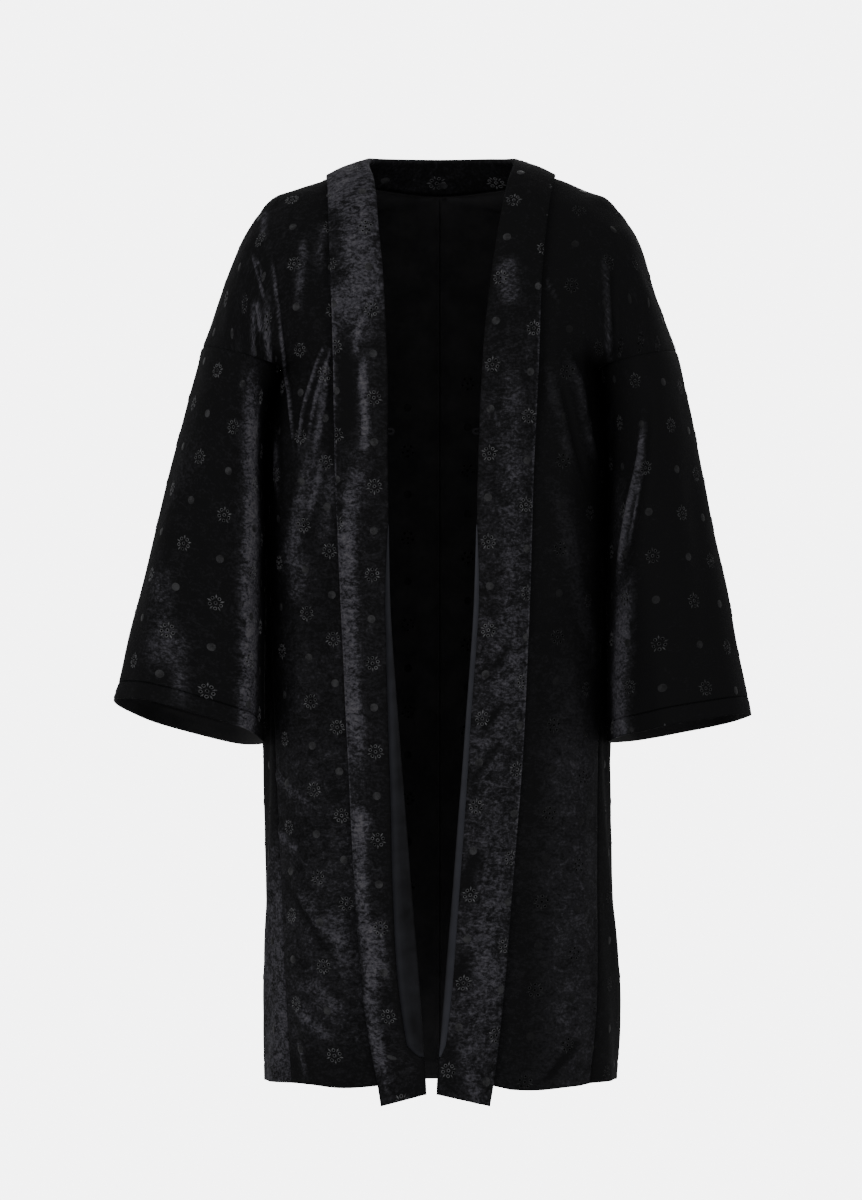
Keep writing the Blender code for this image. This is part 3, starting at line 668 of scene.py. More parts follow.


# Creases with painted highlights, and painted shade where the last number is negative.
COLLAR_CREASES = (
    (((-107, -23), (-105, -75), (-102, -123)), 7.0, 0.0, -0.45),
    (((-78, -143), (-82, -165), (-86, -183)), 3.0, 1.2, 0.6),
    (((-77, -177), (-76, -225), (-74, -250), (-77, -281)), 3.6, 1.8, 0.85),
    (((-74, -249), (-78, -280), (-83, -305), (-89, -330), (-91, -365), (-90, -425), (-89, -475),
      (-88, -525), (-85, -565), (-83, -595), (-86, -637)), 8.4, 1.6, 0.66),
    (((-86, -595), (-82, -645), (-79, -695), (-74, -755), (-70, -790), (-68, -830), (-62, -870),
      (-53, -910), (-47, -945)), 6.4, 1.4, 0.62),
    (((-65, -735), (-60, -775), (-57, -815)), 7.0, 0.8, 0.5),
    (((-79, -629), (-76, -663)), 7.0, 0.5, 0.45),
    (((-107, -135), (-107, -195), (-105, -255)), 4.0, 0.8, 0.4),
    (((-93, -160), (-93, -225), (-94, -280)), 10.0, 0.0, -0.2),
    (((68, -79), (67, -110), (68, -137)), 10.0, 0.6, 0.5),
    (((67, -155), (68, -225), (68, -275), (72, -345), (72, -425), (68, -505), (65, -595)), 12.0,
      0.8, 0.22),
    (((55, -565), (52, -685), (48, -785), (36, -885)), 14.0, 0.6, 0.16),
    (((73, -460), (60, -485), (45, -499)), 2.6, -1.2, -0.45),
    (((67, -520), (53, -540), (36, -563)), 2.6, -1.2, -0.45),
    (((62, -565), (46, -585), (30, -609)), 2.6, -1.2, -0.45),
    (((42, -670), (30, -693), (25, -721)), 6.0, 0.0, -0.4),
    (((30, -775), (22, -787), (18, -810)), 6.0, 0.0, -0.35),
    (((6, -855), (10, -895), (12, -930)), 8.0, 0.0, -0.3),
    (((20, -867), (30, -900), (41, -933)), 3.0, 1.6, 0.25),
)

# Painted light with the crushed tone of the collar's nap, the lit right lighter: on the right
# and more over its shoulder, on the left and more twice on the way down, and at the back.
RIGHT_COLLAR_LEVEL = 0.20
RIGHT_COLLAR_TOP = 0.55
LEFT_COLLAR_LEVEL = 0.06
LEFT_COLLAR_MORE = ((0.21, -100), (0.14, -380))
COLLAR_BACK_LEVEL = 0.20
EDGE_SHINE = 0.55               # painted highlight along the free edge
FOLD_SHADE = 0.16               # painted shade by the fold, low on the right
FOLD_SHADE_REACH = 7.0 * MM
FOOT_START = 88                 # millimetres from the foot where the motifs start to lean out
FOOT_SHIFT = 12.0 * MM
COLLAR_FLOWER = {RIGHT: (13.5, -312), LEFT: (10.5, -279)}   # from the fold, and height, mm
collar_places = {}
collar_rows = {}
for side in SIDE_NAME:
    low, high, neck = seam_places(side)
    start = blend(0.0, low[0], np.linspace(0.0, 1.0, 7))
    collar_places[side] = np.concatenate([start, low[1:-1], high[:-1], neck])
    collar_rows[side] = collar_sections(side, collar_places[side])
collar_points = np.concatenate([collar_rows[RIGHT], collar_rows[LEFT][-2::-1]])
collar_out = outward_ways(collar_points, -1.0)
collar_along = run_length(collar_points[:, FOLD_COLUMN])[:, None] + 0.0 * collar_points[..., 0]
collar_across = run_across(collar_points)
collar_across -= collar_across[:, FOLD_COLUMN, None]
collar_points, collar_shine = crease_cloth(collar_points, collar_out, COLLAR_CREASES, FRONT)
x, y, z = np.moveaxis(collar_points, -1, 0)
right_layer = x < 0.0
# Painted light on the collar: lighter on the right and its top, a painted highlight along the free
# edge, painted shade by the fold.
left_level = LEFT_COLLAR_LEVEL + sum(more * rise(z, start, -100)
                                     for more, start in LEFT_COLLAR_MORE)
collar_level = np.where(right_layer, RIGHT_COLLAR_LEVEL
                        + RIGHT_COLLAR_TOP * rise(z, -175, 50) * rise(x, -40, -40), left_level)
collar_shine += blend(COLLAR_BACK_LEVEL, collar_level, rise(y, 30, -50))
collar_shine[:, -1] += EDGE_SHINE * rise(z[:, -1], -100, -50) * rise(z[:, -1], -750, 150)
collar_shine -= (FOLD_SHADE * right_layer * bell(collar_across, FOLD_SHADE_REACH)
                 * rise(z, -450, -150))
collar_points = ripple(collar_points, collar_out, size=45.0, height=0.8, seed=3.1)
collar = hang_cloth("collar_cloth", collar_points, outward_ways(collar_points, -1.0),
                    collar_across, collar_along, collar_shine, collar_velvet, wrong_side)
collar_middle = collar_along[len(collar_rows[RIGHT]) - 1, 0]


def collar_along_at(side, height):
    """Length along the collar where its fold has a height, on one side."""
    count = len(collar_rows[RIGHT])
    part = slice(0, count) if side == RIGHT else slice(count, None)
    heights = collar_points[part, FOLD_COLUMN, 2]
    lengths = collar_along[part, 0]
    order = np.argsort(heights)
    return float(np.interp(height, heights[order], lengths[order]))


collar_sites = {0: [], 1: []}
for side, stretch in ((RIGHT, (-np.inf, collar_middle)), (LEFT, (collar_middle, np.inf))):
    from_fold, height = COLLAR_FLOWER[side]
    sites = pattern_sites(collar, from_fold * MM, collar_along_at(side, height * MM),
                          rows=stretch)
    for kind, places in sites.items():
        collar_sites[kind] += [(across + FOOT_SHIFT * float(rise(along, FOOT_START, -50)), along)
                               for across, along in places]
collar_motifs = embroider("collar_embroidery", collar, collar_sites, lit_threads)
dress(collar, "collar", [collar_motifs])

# ---------------------------------------------------------------- body panels
# Front and back of each side are one length of crushed velvet over the shoulder, joined at
# the centre back. Seams pull their edges in a little, and the hem is turned up and stitched.
GUSSET_TOP = 8.0 * MM           # half width of the gusset at the underarm
GUSSET_HEM = 62.0 * MM          # and at the hem
SIDE_HEM = -905.0 * MM
BACK_HEM = -909.0 * MM
OUTLINE_POWER = 2.6             # roundness of the body's level section: 2 is an ellipse
HANDLE = 0.6                    # how full the curves across a panel are
SHOULDER_HANDLE = 0.68          # the same over the top of the shoulder
LEAST_HANDLE = 0.25             # and the least, as a share of the row's chord
SHOULDER_LEAN = 0.16            # how far the upper arm's cloth leans out at its seam
SLEEVE_FLARE = 0.25             # share of the sleeve over which it leaves the body's side
YOKE_SLOPE = 0.9                # how steeply the back leaves the collar behind the shoulder
YOKE_LEAN = 0.2                 # share of that slope that leans forward
YOKE_SHARE = 9.0 / 16.0         # of the ring's rows over which the back's slope runs out
NECK_SHARE = 6.0 / 16.0         # of the ring's rows that start on the neck
SIDE_FILL = 4.5 * MM            # how far the body fills out behind its side, and where
SIDE_FILL_DEPTH = 36.0 * MM
SIDE_FILL_REACH = 24.0 * MM
SIDE_FILL_TOP = (-185, -50)     # start and span of its rise below the arm, and of its fall
SIDE_FILL_FOOT = (-640, 100)
SIDE_LAP = {RIGHT: 3.0 * MM, LEFT: 3.6 * MM}    # how far it meets the sleeve's inner wall
SIDE_LAP_MOST = 6.0 * MM
SIDE_LAP_DEPTH = 25.0 * MM
SIDE_LAP_REACH = 20.0 * MM
SIDE_LAP_RISE = (-240, 20)
SIDE_LAP_TOP = (-189.5, -5)
SIDE_LAP_FOOT = (-260, 20)
SHOULDER_FIT_REACH = (140, 30)
HEM_DROP_REACH = (-800, -100)
SHOULDER_FIT = {                # millimetres outwards, by millimetres below the shoulders
    RIGHT: ((4, 0.0), (10, 2.5), (21, 3.5), (29, 0.5), (36, -2.5), (48, -3.0), (70, -1.5),
            (110, 0.0)),
    LEFT: ((8, 0.0), (22, 2.0), (32, -3.5), (45, -5.5), (62, -5.0), (105, -4.0), (145, -3.5),
           (172, -2.5), (200, -1.0), (240, 0.0)),
}
HEM_DROP = {                    # millimetres, by millimetres from the middle
    RIGHT: ((50, 1.0), (172, 2.5)),
    LEFT: ((50, 1.0), (70, 4.0), (140, 4.5), (150, 2.5), (172, 1.5)),
}
TUCK_START = np.radians(110)    # turn where the armhole starts to pass inside the sleeve
TUCK_SPAN = np.radians(60)      # turns over which it does
FOLD_START = 18.0 * MM          # folds rise to their full height over this from the collar
FOLD_END = 0.22                 # share of a row over which they sink towards its outer seam
FOLD_TAIL = 0.3                 # share of a fold's own length over which it fades
COLUMN_STEP = 2.5 * MM          # between the lines along which the cloth's length is measured

TorsoRow = namedtuple("TorsoRow", "height right left front back widest")
TORSO_ROWS = tuple(map(TorsoRow._make, (
    (-912, 175, 176, 112, 108, 24),
    (-830, 175, 179, 113, 106, 24),
    (-700, 174, 172, 115, 104, 25),
    (-570, 175, 168, 117, 104, 26),
    (-450, 175.5, 168, 119, 104, 26),
    (-300, 175, 168, 120, 106, 26),
    (-247, 171, 165, 119, 107, 22),
    (-194, 157.7, 157.7, 116, 108, 0),
)))
SpineRow = namedtuple("SpineRow", "height depth")
SPINE_ROWS = tuple(map(SpineRow._make, (
    (-194, 108),
    (-120, 106),
    (-65, 97),
    (-28, 84),
)))
Sleeve = namedtuple(
    "Sleeve",
    "top_x top_z under_x under_z cuff_out_x cuff_out_z cuff_in_x cuff_in_z "
    "seam_half cuff_half seam_y cuff_y seam_tip cuff_tip")
SLEEVES = {
    RIGHT: Sleeve(238, -172, 160, -193, 326, -526, 177, -567, 104, 86, -5, -42, 2, 8),
    LEFT: Sleeve(239, -176, 160, -193, 311, -540, 169, -567, 104, 88, -5, -36, 2, 4),
}
Fold = namedtuple("Fold", "face x0 z0 x1 z1 width height")
BODY_FOLDS = {
    RIGHT: (
        (FRONT, 168, -80, 160, -300, 19, 10),
        (FRONT, 196, -80, 186, -180, 16, -6),
        (FRONT, 106, -165, 142, -300, 15, 7),
        (FRONT, 140, -265, 154, -420, 17, 8),
        (FRONT, 122, -330, 118, -700, 17, -6),
        (FRONT, 108, -560, 98, -912, 13, 5),
        (FRONT, 148, -620, 138, -912, 15, 6),
        (BACK, 166, -90, 150, -330, 20, 9),
        (BACK, 118, -140, 124, -520, 20, -8),
        (BACK, 82, -240, 96, -912, 20, 8),
        (BACK, 44, -330, 40, -912, 17, -7),
        (BACK, 138, -430, 142, -912, 17, 8),
    ),
    LEFT: (
        (FRONT, 166, -80, 170, -310, 19, 10),
        (FRONT, 196, -85, 190, -185, 16, -6),
        (FRONT, 128, -190, 150, -310, 15, 7),
        (FRONT, 108, -160, 146, -420, 17, 7),
        (FRONT, 118, -430, 112, -800, 18, -6),
        (FRONT, 146, -560, 136, -912, 15, 6),
        (FRONT, 102, -650, 92, -912, 13, 5),
        (BACK, 168, -95, 152, -320, 20, 9),
        (BACK, 120, -150, 116, -560, 20, -8),
        (BACK, 88, -280, 78, -912, 19, 9),
        (BACK, 40, -300, 46, -912, 16, -6),
        (BACK, 142, -400, 134, -912, 17, 7),
    ),
}


def outline_point(side, depth, height):
    """The body's level section at a depth."""
    widest = by_height(TORSO_ROWS, "widest", height)
    reach = np.where(depth < widest, by_height(TORSO_ROWS, "front", height) + widest,
                     by_height(TORSO_ROWS, "back", height) - widest)
    share = np.minimum(1.0, np.abs(depth - widest) / reach)
    half_width = by_height(TORSO_ROWS, SIDE_NAME[side], height)
    width = half_width * (1.0 - share ** OUTLINE_POWER) ** (1.0 / OUTLINE_POWER)
    return np.stack(np.broadcast_arrays(side * width, depth, height), axis=-1)


def gusset_seam(side, face, height):
    """The seam between the gusset and the front or back panel."""
    sleeve = SLEEVES[side]
    drop = (sleeve.under_z * MM - height) / (sleeve.under_z * MM - SIDE_HEM)
    depth = sleeve.seam_y * MM + face * blend(GUSSET_TOP, GUSSET_HEM, np.clip(drop, 0.0, 1.0))
    return outline_point(side, depth, height)


def gusset_seam_way(side, face, height):
    here = gusset_seam(side, face, height)
    there = outline_point(side, here[..., 1] - face * 2.0 * WALL, height)
    return unit(there - here)


def sleeve_point(side, turn, along):
    """A point of the sleeve: turn 0 is outermost, a quarter turn the front, half underarm."""
    sleeve = SLEEVES[side]
    turn, along = np.broadcast_arrays(np.asarray(turn, float), np.asarray(along, float))
    turn, along = turn[..., None], along[..., None]
    top = np.array((side * sleeve.top_x, sleeve.seam_y, sleeve.top_z)) * MM
    under = np.array((side * sleeve.under_x, sleeve.seam_y, sleeve.under_z)) * MM
    cuff_out = np.array((side * sleeve.cuff_out_x, sleeve.cuff_y, sleeve.cuff_out_z)) * MM
    cuff_in = np.array((side * sleeve.cuff_in_x, sleeve.cuff_y, sleeve.cuff_in_z)) * MM
    outer = blend(top, cuff_out, along)
    inner = blend(under, cuff_in, along)
    flare = ease(0.5 + 0.5 * along / SLEEVE_FLARE) * 2.0 - 1.0
    inner[..., :1] = blend(under[0], cuff_in[0], flare)
    half_depth = blend(sleeve.seam_half, sleeve.cuff_half, along) * MM
    tip = np.radians(blend(sleeve.seam_tip, sleeve.cuff_tip, along))
    forward = np.concatenate([0.0 * tip, -np.cos(tip), np.sin(tip)], axis=-1)
    return ((outer + inner) * 0.5 + (outer - inner) * (0.5 * np.cos(turn))
            + forward * (half_depth * np.sin(turn)))


def sleeve_way(side, turn):
    return unit(sleeve_point(side, turn, 1.0) - sleeve_point(side, turn, 0.0))


def underarm_turn(side, face):
    """Turn at which the armhole reaches the gusset's corner."""
    return (np.pi - np.arcsin(GUSSET_TOP / (SLEEVES[side].seam_half * MM))) * -face


def armhole_point(side, turn):
    """The armhole's edge, which passes inside the sleeve's wall at the underarm."""
    point = sleeve_point(side, turn, 0.0)
    point[..., 0] -= side * ease((np.abs(turn) - TUCK_START) / TUCK_SPAN) * (WALL + SEAM_GAP)
    return point


def armhole_way(side, turn):
    """The way a row of the body panel arrives at the armhole."""
    share = ease((np.abs(turn) - TUCK_START) / TUCK_SPAN)[..., None]
    round_body = np.stack([0.0 * turn, np.where(turn > 0, 1.0, -1.0), 0.0 * turn], axis=-1)
    way = sleeve_way(side, turn)
    way[..., 0] += side * SHOULDER_LEAN * np.maximum(0.0, np.cos(turn))
    return unit(blend(way, round_body, share))


def spine_point(height):
    """The centre back seam at many heights."""
    depth = np.where(height < SPINE_ROWS[0].height * MM,
                     by_height(TORSO_ROWS, "back", height),
                     by_height(SPINE_ROWS, "depth", height))
    return np.stack([0.0 * height, depth, height], axis=-1)


def panel_rows(side):
    """Start, start way, end, end way and fullness of each row across a body panel, from the
    front hem over the shoulder to the back hem."""
    trim = 0.5 * SEAM_GAP
    underarm = SLEEVES[side].under_z * MM
    low, high, neck = seam_places(side)
    outwards = np.array((side, 0.0, 0.0))

    def seam_start(places):
        off_seam = -collar_frame(side, places)[2]
        return collar_seam(side, places) + off_seam * trim, off_seam

    def to_gusset(start, way, face, height):
        return (start, way, gusset_seam(side, face, height),
                gusset_seam_way(side, face, height), np.full(len(height), HANDLE))

    def to_armhole(start, way, face, share):
        turn = underarm_turn(side, face) * share
        return (start, way, armhole_point(side, turn), armhole_way(side, turn),
                blend(HANDLE, SHOULDER_HANDLE, ease(np.cos(turn))))

    # front, hem to underarm and on to the shoulder
    parts = [to_gusset(*seam_start(low[:-1]), FRONT, blend(SIDE_HEM, underarm, LOW_SHARES[:-1])),
             to_armhole(*seam_start(high), FRONT, 1.0 - RING_SHARES)]
    # back, shoulder to underarm
    share = RING_SHARES[1:]
    on_neck = share < NECK_SHARE
    neck_places = np.interp(share[on_neck] / NECK_SHARE, NECK_SHARES, neck)
    corner = seam_start(neck[-1:])[0]
    spine = np.concatenate([corner, spine_point(np.linspace(SPINE_ROWS[-1].height * MM,
                                                            underarm, 161))])
    lengths = run_length(spine)
    down = (share[~on_neck] - NECK_SHARE) / (1.0 - NECK_SHARE) * lengths[-1]
    spine_starts = np.stack([np.interp(down, lengths, spine[:, axis]) for axis in range(3)],
                            axis=-1) + outwards * trim
    start = np.concatenate([seam_start(neck_places)[0], spine_starts])
    slope = YOKE_SLOPE * (1.0 - ease(share / YOKE_SHARE))
    yoke_way = unit(np.stack([side + 0.0 * slope, -YOKE_LEAN * slope, -slope], axis=-1))
    shoulder_way = seam_start(high[-1:])[1]
    way = unit(blend(shoulder_way, yoke_way, np.minimum(1.0, share / NECK_SHARE)[:, None]))
    parts.append(to_armhole(start, way, BACK, share))
    # back, underarm to hem
    share = 1.0 - LOW_SHARES[::-1][1:]
    start = spine_point(blend(underarm, BACK_HEM, share)) + outwards * trim
    parts.append(to_gusset(start, np.tile(outwards, (len(share), 1)), BACK,
                           blend(underarm, SIDE_HEM, share)))
    start, way, end, end_way, handle = (np.concatenate(column) for column in zip(*parts))
    return start, way, end - end_way * trim, end_way, handle


def panel_surface(side, shares):
    """The smooth panel between its seams, before any fold."""
    start, way, end, end_way, handle = (
        part[:, None] for part in panel_rows(side))
    handle = handle[..., None]
    chord = end - start
    least = LEAST_HANDLE * np.linalg.norm(chord, axis=-1, keepdims=True)
    near = start + way * np.maximum(
        least, handle * np.abs((chord * way).sum(axis=-1, keepdims=True)))
    far = end - end_way * np.maximum(
        least, handle * np.abs((chord * end_way).sum(axis=-1, keepdims=True)))
    share = shares[None, :, None]
    rest = 1.0 - share
    return (start * rest ** 3 + near * (3.0 * rest ** 2 * share)
            + far * (3.0 * rest * share ** 2) + end * share ** 3)


def fold_fade(share, runs_out):
    """How a fold rises at its start, and sinks at its end if it runs out in the cloth."""
    fade = ease(share / FOLD_TAIL + FOLD_TAIL)
    return fade * ease((1.0 - share) / FOLD_TAIL + FOLD_TAIL) if runs_out else fade


def body_folds(side, points, shares):
    """The largest folds, as the solid has them."""
    push = np.zeros(points.shape[:2])
    for fold in map(Fold._make, BODY_FOLDS[side]):
        start = np.array((side * fold.x0, fold.z0)) * MM
        end = np.array((side * fold.x1, fold.z1)) * MM
        flat = points[..., [0, 2]]
        line = end - start
        share = (flat - start) @ line / (line @ line)
        off = np.linalg.norm(flat - start - share[..., None] * line, axis=-1)
        fade = fold_fade(share, fold.z1 * MM > BACK_HEM)
        on_face = fold.face * points[..., 1] > 0.0
        push += np.where(on_face, fold.height * MM * bell(off, fold.width * MM) * fade, 0.0)
    clear = np.linalg.norm(points - points[:, :1], axis=-1) - COLLAR_LAP
    fade = ease(clear / FOLD_START) * ease((1.0 - shares) / FOLD_END)
    moved = points.copy()
    moved[..., 1] += np.where(points[..., 1] < 0.0, FRONT, BACK) * push * fade
    return moved


def panel_lengths(points, first_ring, last_ring, shoulder):
    """Cloth lengths across and along a body panel, level at both underarm rows."""
    offset = np.abs(points[:, 0, 0])
    offset[:shoulder] = offset[shoulder]
    across = offset[:, None] + run_across(points)
    columns = np.arange(0.0, across.max(), COLUMN_STEP)
    lines = np.full((len(points), len(columns), 3), np.nan)
    for row, lengths in enumerate(across):
        inside = (columns >= lengths[0]) & (columns <= lengths[-1])
        for axis in range(3):
            lines[row, inside, axis] = np.interp(columns[inside], lengths,
                                                 points[row, :, axis])
    steps = np.linalg.norm(np.diff(lines, axis=0), axis=-1)
    along = np.full((len(points), len(columns)), np.nan)
    ring = slice(first_ring, last_ring)
    whole = ~np.isnan(steps[ring]).any(axis=0)
    ring_length = np.median(steps[ring, whole].sum(axis=0))
    for column, step in enumerate(steps.T):
        anchor, value = (first_ring, 0.0) if whole[column] else (last_ring, ring_length)
        if np.isnan(lines[anchor, column, 0]):
            continue
        step = step.copy()
        if whole[column]:
            step[ring] *= ring_length / step[ring].sum()
        along[:, column] = np.concatenate([value - np.cumsum(step[:anchor][::-1])[::-1],
                                           [value], value + np.cumsum(step[anchor:])])
    result = np.zeros(across.shape)
    for row in range(len(points)):
        known = ~np.isnan(along[row])
        result[row] = np.interp(across[row], columns[known], along[row, known])
    return across, result


def side_fullness(points, side, outward):
    """The body fills out behind the middle below the arm, so its side meets the sleeve."""
    _, depth, height = np.moveaxis(points, -1, 0)
    fill = SIDE_FILL * rise(height, *SIDE_FILL_TOP) * rise(height, *SIDE_FILL_FOOT)
    fill = fill * bell(depth - SIDE_FILL_DEPTH, SIDE_FILL_REACH)
    inner = sleeve_point(side, np.pi, np.linspace(0.0, 1.0, 101))
    sleeve_x = np.interp(-height, -inner[:, 2], side * inner[:, 0])
    lap = SIDE_LAP[side] * rise(height, *SIDE_LAP_RISE)
    meet = sleeve_x - by_height(TORSO_ROWS, SIDE_NAME[side], height) - WALL + lap
    meet = np.clip(meet, 0.0, SIDE_LAP_MOST)
    meet = meet * rise(height, *SIDE_LAP_TOP) * rise(height, *SIDE_LAP_FOOT)
    meet = meet * bell(depth - SIDE_LAP_DEPTH, SIDE_LAP_REACH)
    sideways = ease(side * outward[..., 0] / 0.3)
    filled = points + outward * (fill * ease(side * outward[..., 0] / 0.5))[..., None]
    filled[..., 0] += side * np.maximum(0.0, meet - fill) * sideways
    return filled


def shoulder_fit(points, side, outward):
    """The drop of the shoulder hangs from a corner, straighter than the solid's round."""
    heights, pushes = zip(*SHOULDER_FIT[side])
    push = np.interp(-points[..., 2] / MM, heights, pushes) * MM
    reach = rise(side * points[..., 0], *SHOULDER_FIT_REACH)
    return points + outward * (push * reach * ease(side * outward[..., 0] / 0.6))[..., None]


def hem_drop(points, side):
    """The hem hangs a little unevenly."""
    offsets, drops = zip(*HEM_DROP[side])
    drop = np.interp(side * points[..., 0] / MM, offsets, drops) * MM
    lower = points.copy()
    lower[..., 2] -= drop * rise(points[..., 2], *HEM_DROP_REACH)
    return lower


SEAM_PULL = 1.1 * MM            # how far a seam pulls the cloth in, and over what width
SEAM_WIDTH = 3.0 * MM
HEM_WIDTH = 17                  # millimetres of doubled cloth above a hem's edge
HEM_THICKNESS = 0.35 * MM       # that it stands out
STITCH_PULL = 0.6 * MM          # the same of a hem's stitches
STITCH_WIDTH = 1.6 * MM


def seam_dip(distance):
    """How far a seam pulls the cloth in, by distance from it."""
    return -SEAM_PULL * bell(distance, SEAM_WIDTH)


def hem_relief(distance):
    """A turned-up hem: doubled cloth up to a line of hidden stitches."""
    doubled = HEM_THICKNESS * rise(distance, HEM_WIDTH, -2)
    return doubled - STITCH_PULL * bell(distance - (HEM_WIDTH + 0.5) * MM, STITCH_WIDTH)


# Creases with painted highlights, and painted shade where the last number is negative.
BODY_CREASES = {
    RIGHT: (
        (((-187, -76), (-183, -95), (-178, -115), (-174, -130)), 1.1, 1.6, 0.75),
        (((-184, -82), (-179, -95), (-177, -108)), 1.0, 1.0, 0.6),
        (((-170, -62), (-168, -85), (-165, -103), (-162, -132), (-159, -158), (-155, -188),
          (-150, -220), (-146, -264), (-144, -290)), 1.2, 2.2, 0.8),
        (((-171, -100), (-172, -161), (-171, -191), (-168, -229), (-165, -264), (-163, -290),
          (-160, -345)), 2.8, 3.0, 0.85),
        (((-187, -119), (-186, -161), (-186, -195)), 1.8, 1.6, 0.66),
        (((-183, -123), (-178, -163)), 2.4, 1.4, 0.7),
        (((-174, -33), (-177, -69)), 3.0, 0.8, 0.5),
        (((-136, -55), (-137, -88), (-140, -108), (-142, -143)), 4.2, 1.4, 0.5),
        (((-115, -41), (-118, -73), (-124, -101)), 4.5, 1.0, 0.42),
        (((-106, -156), (-119, -181), (-128, -208), (-135, -233), (-139, -260), (-142, -287)), 1.2,
          2.0, 0.78),
        (((-105, -164), (-115, -195), (-122, -219), (-127, -243), (-134, -275)), 1.2, 1.8, 0.78),
        (((-111, -171), (-114, -208), (-118, -235), (-122, -260), (-127, -289)), 3.2, 1.4, 0.52),
        (((-122, -247), (-131, -288), (-137, -323), (-143, -353), (-148, -387), (-150, -415)), 7.0,
          2.4, 0.44),
        (((-115, -273), (-124, -315), (-132, -349)), 3.0, 1.2, 0.58),
        (((-109, -287), (-112, -330), (-119, -377)), 7.0, 0.6, 0.36),
        (((-135, -377), (-140, -405), (-145, -431)), 8.0, 0.5, 0.4),
        (((-173, -590), (-148, -617), (-118, -633)), 3.0, 1.4, 0.34),
        (((-176, -635), (-157, -660), (-138, -681)), 3.0, 1.4, 0.38),
        (((-164, -689), (-137, -734), (-113, -773), (-92, -795)), 3.0, -1.8, -0.2),
        (((-146, -707), (-115, -750), (-92, -775)), 6.0, 1.2, 0.22),
        (((-103, -730), (-94, -795)), 7.0, 1.0, 0.32),
        (((-138, -801), (-110, -825), (-90, -840)), 6.0, 1.4, 0.34),
        (((-148, -825), (-128, -847), (-104, -865)), 4.0, 1.2, 0.34),
        (((-153, -843), (-157, -875), (-160, -905)), 1.6, 1.4, 0.6),
        (((-141, -861), (-136, -883), (-132, -905)), 1.8, 1.4, 0.5),
    ),
    LEFT: (
        (((103, -102), (112, -118), (120, -133)), 1.5, 1.6, 0.45),
        (((161, -69), (165, -99), (166, -121), (167, -146), (169, -177), (173, -203)), 2.4, 2.6,
          0.44),
        (((171, -80), (172, -125), (173, -173)), 2.2, -2.4, -0.1),
        (((124, -170), (130, -190), (138, -215), (141, -234), (147, -262), (158, -297)), 4.5, 4.0,
          0.32),
        (((117, -197), (126, -235), (135, -270), (148, -317)), 3.0, -3.0, -0.1),
        (((145, -160), (152, -215), (159, -260), (165, -315)), 5.0, -4.0, -0.1),
        (((103, -180), (113, -220), (122, -255), (131, -303)), 5.0, 1.4, 0.22),
        (((107, -290), (125, -353), (137, -410), (152, -464), (165, -525)), 8.0, 1.4, 0.22),
        (((132, -465), (132, -675), (132, -825), (132, -1005)), 27.0, 0.0, 0.28),
        (((143, -859), (122, -883), (102, -909)), 4.0, -1.6, -0.4),
        (((95, -525), (90, -685), (84, -915)), 9.0, -1.4, -0.06),
    ),
}
# Creases with painted highlights, and painted shade where the last number is negative.
BACK_CREASES = {
    RIGHT: (
        (((-166, -80), (-162, -150), (-154, -230), (-146, -320)), 3.5, 2.6, 0.67),
        (((-182, -90), (-178, -140), (-168, -190)), 3.5, 2.0, 0.62),
        (((-150, -210), (-130, -255), (-104, -290)), 5.0, 1.8, 0.48),
        (((-156, -250), (-138, -300), (-118, -350)), 5.0, 1.6, 0.48),
        (((-90, -60), (-96, -130), (-98, -210)), 6.0, 1.4, 0.38),
        (((-60, -150), (-68, -320), (-72, -520)), 8.0, 1.4, 0.38),
        (((-108, -380), (-112, -560), (-110, -760)), 8.0, 1.4, 0.43),
        (((-28, -280), (-24, -480), (-26, -700)), 8.0, 1.2, 0.29),
        (((-134, -520), (-130, -700), (-126, -940)), 8.0, 1.4, 0.38),
        (((-54, -600), (-58, -760), (-56, -940)), 7.0, 1.2, 0.29),
        (((-150, -700), (-120, -716), (-92, -744)), 6.0, 1.2, 0.29),
        (((-140, -800), (-112, -812), (-84, -838)), 6.0, 1.2, 0.29),
    ),
    LEFT: (
        (((168, -85), (164, -150), (157, -235), (148, -310)), 3.5, 2.6, 0.58),
        (((184, -95), (178, -150), (170, -195)), 3.5, 2.0, 0.53),
        (((152, -215), (128, -250), (106, -292)), 5.0, 1.8, 0.48),
        (((158, -262), (136, -310), (120, -345)), 5.0, 1.6, 0.48),
        (((86, -60), (92, -140), (96, -225)), 6.0, 1.4, 0.38),
        (((64, -170), (66, -340), (60, -540)), 8.0, 1.4, 0.38),
        (((110, -360), (106, -560), (112, -780)), 8.0, 1.4, 0.43),
        (((24, -300), (28, -500), (24, -720)), 8.0, 1.2, 0.29),
        (((136, -500), (128, -690), (124, -940)), 8.0, 1.4, 0.38),
        (((50, -620), (56, -780), (52, -940)), 7.0, 1.2, 0.29),
        (((148, -690), (122, -712), (96, -730)), 6.0, 1.2, 0.29),
        (((136, -815), (108, -820), (80, -846)), 6.0, 1.2, 0.29),
    ),
}
# How light the panels are painted, by millimetres below the shoulders: crushed tone with painted
# light, the lit right front lighter than the shaded left, and the back lighter towards the hem.
BODY_LEVELS = {
    RIGHT: ((0, 0.14), (250, 0.08), (300, 0.12), (420, 0.20), (560, 0.28), (760, 0.37),
            (860, 0.33), (885, 0.12)),
    LEFT: ((0, 0.05), (300, 0.07), (520, 0.10), (700, 0.15), (900, 0.15)),
}
BACK_LEVEL = ((0, 0.06), (300, 0.08), (560, 0.16), (900, 0.20))
# Places of one flower on each panel, and of one next to the collar, in millimetres.
FLOWER_ON_BODY = {RIGHT: (-121, -704), LEFT: (138, -687)}
FLOWER_BY_COLLAR = (-102, -549)
GATHERED_STEPS = range(-4, 9)   # motifs of its column that lie nearer the collar
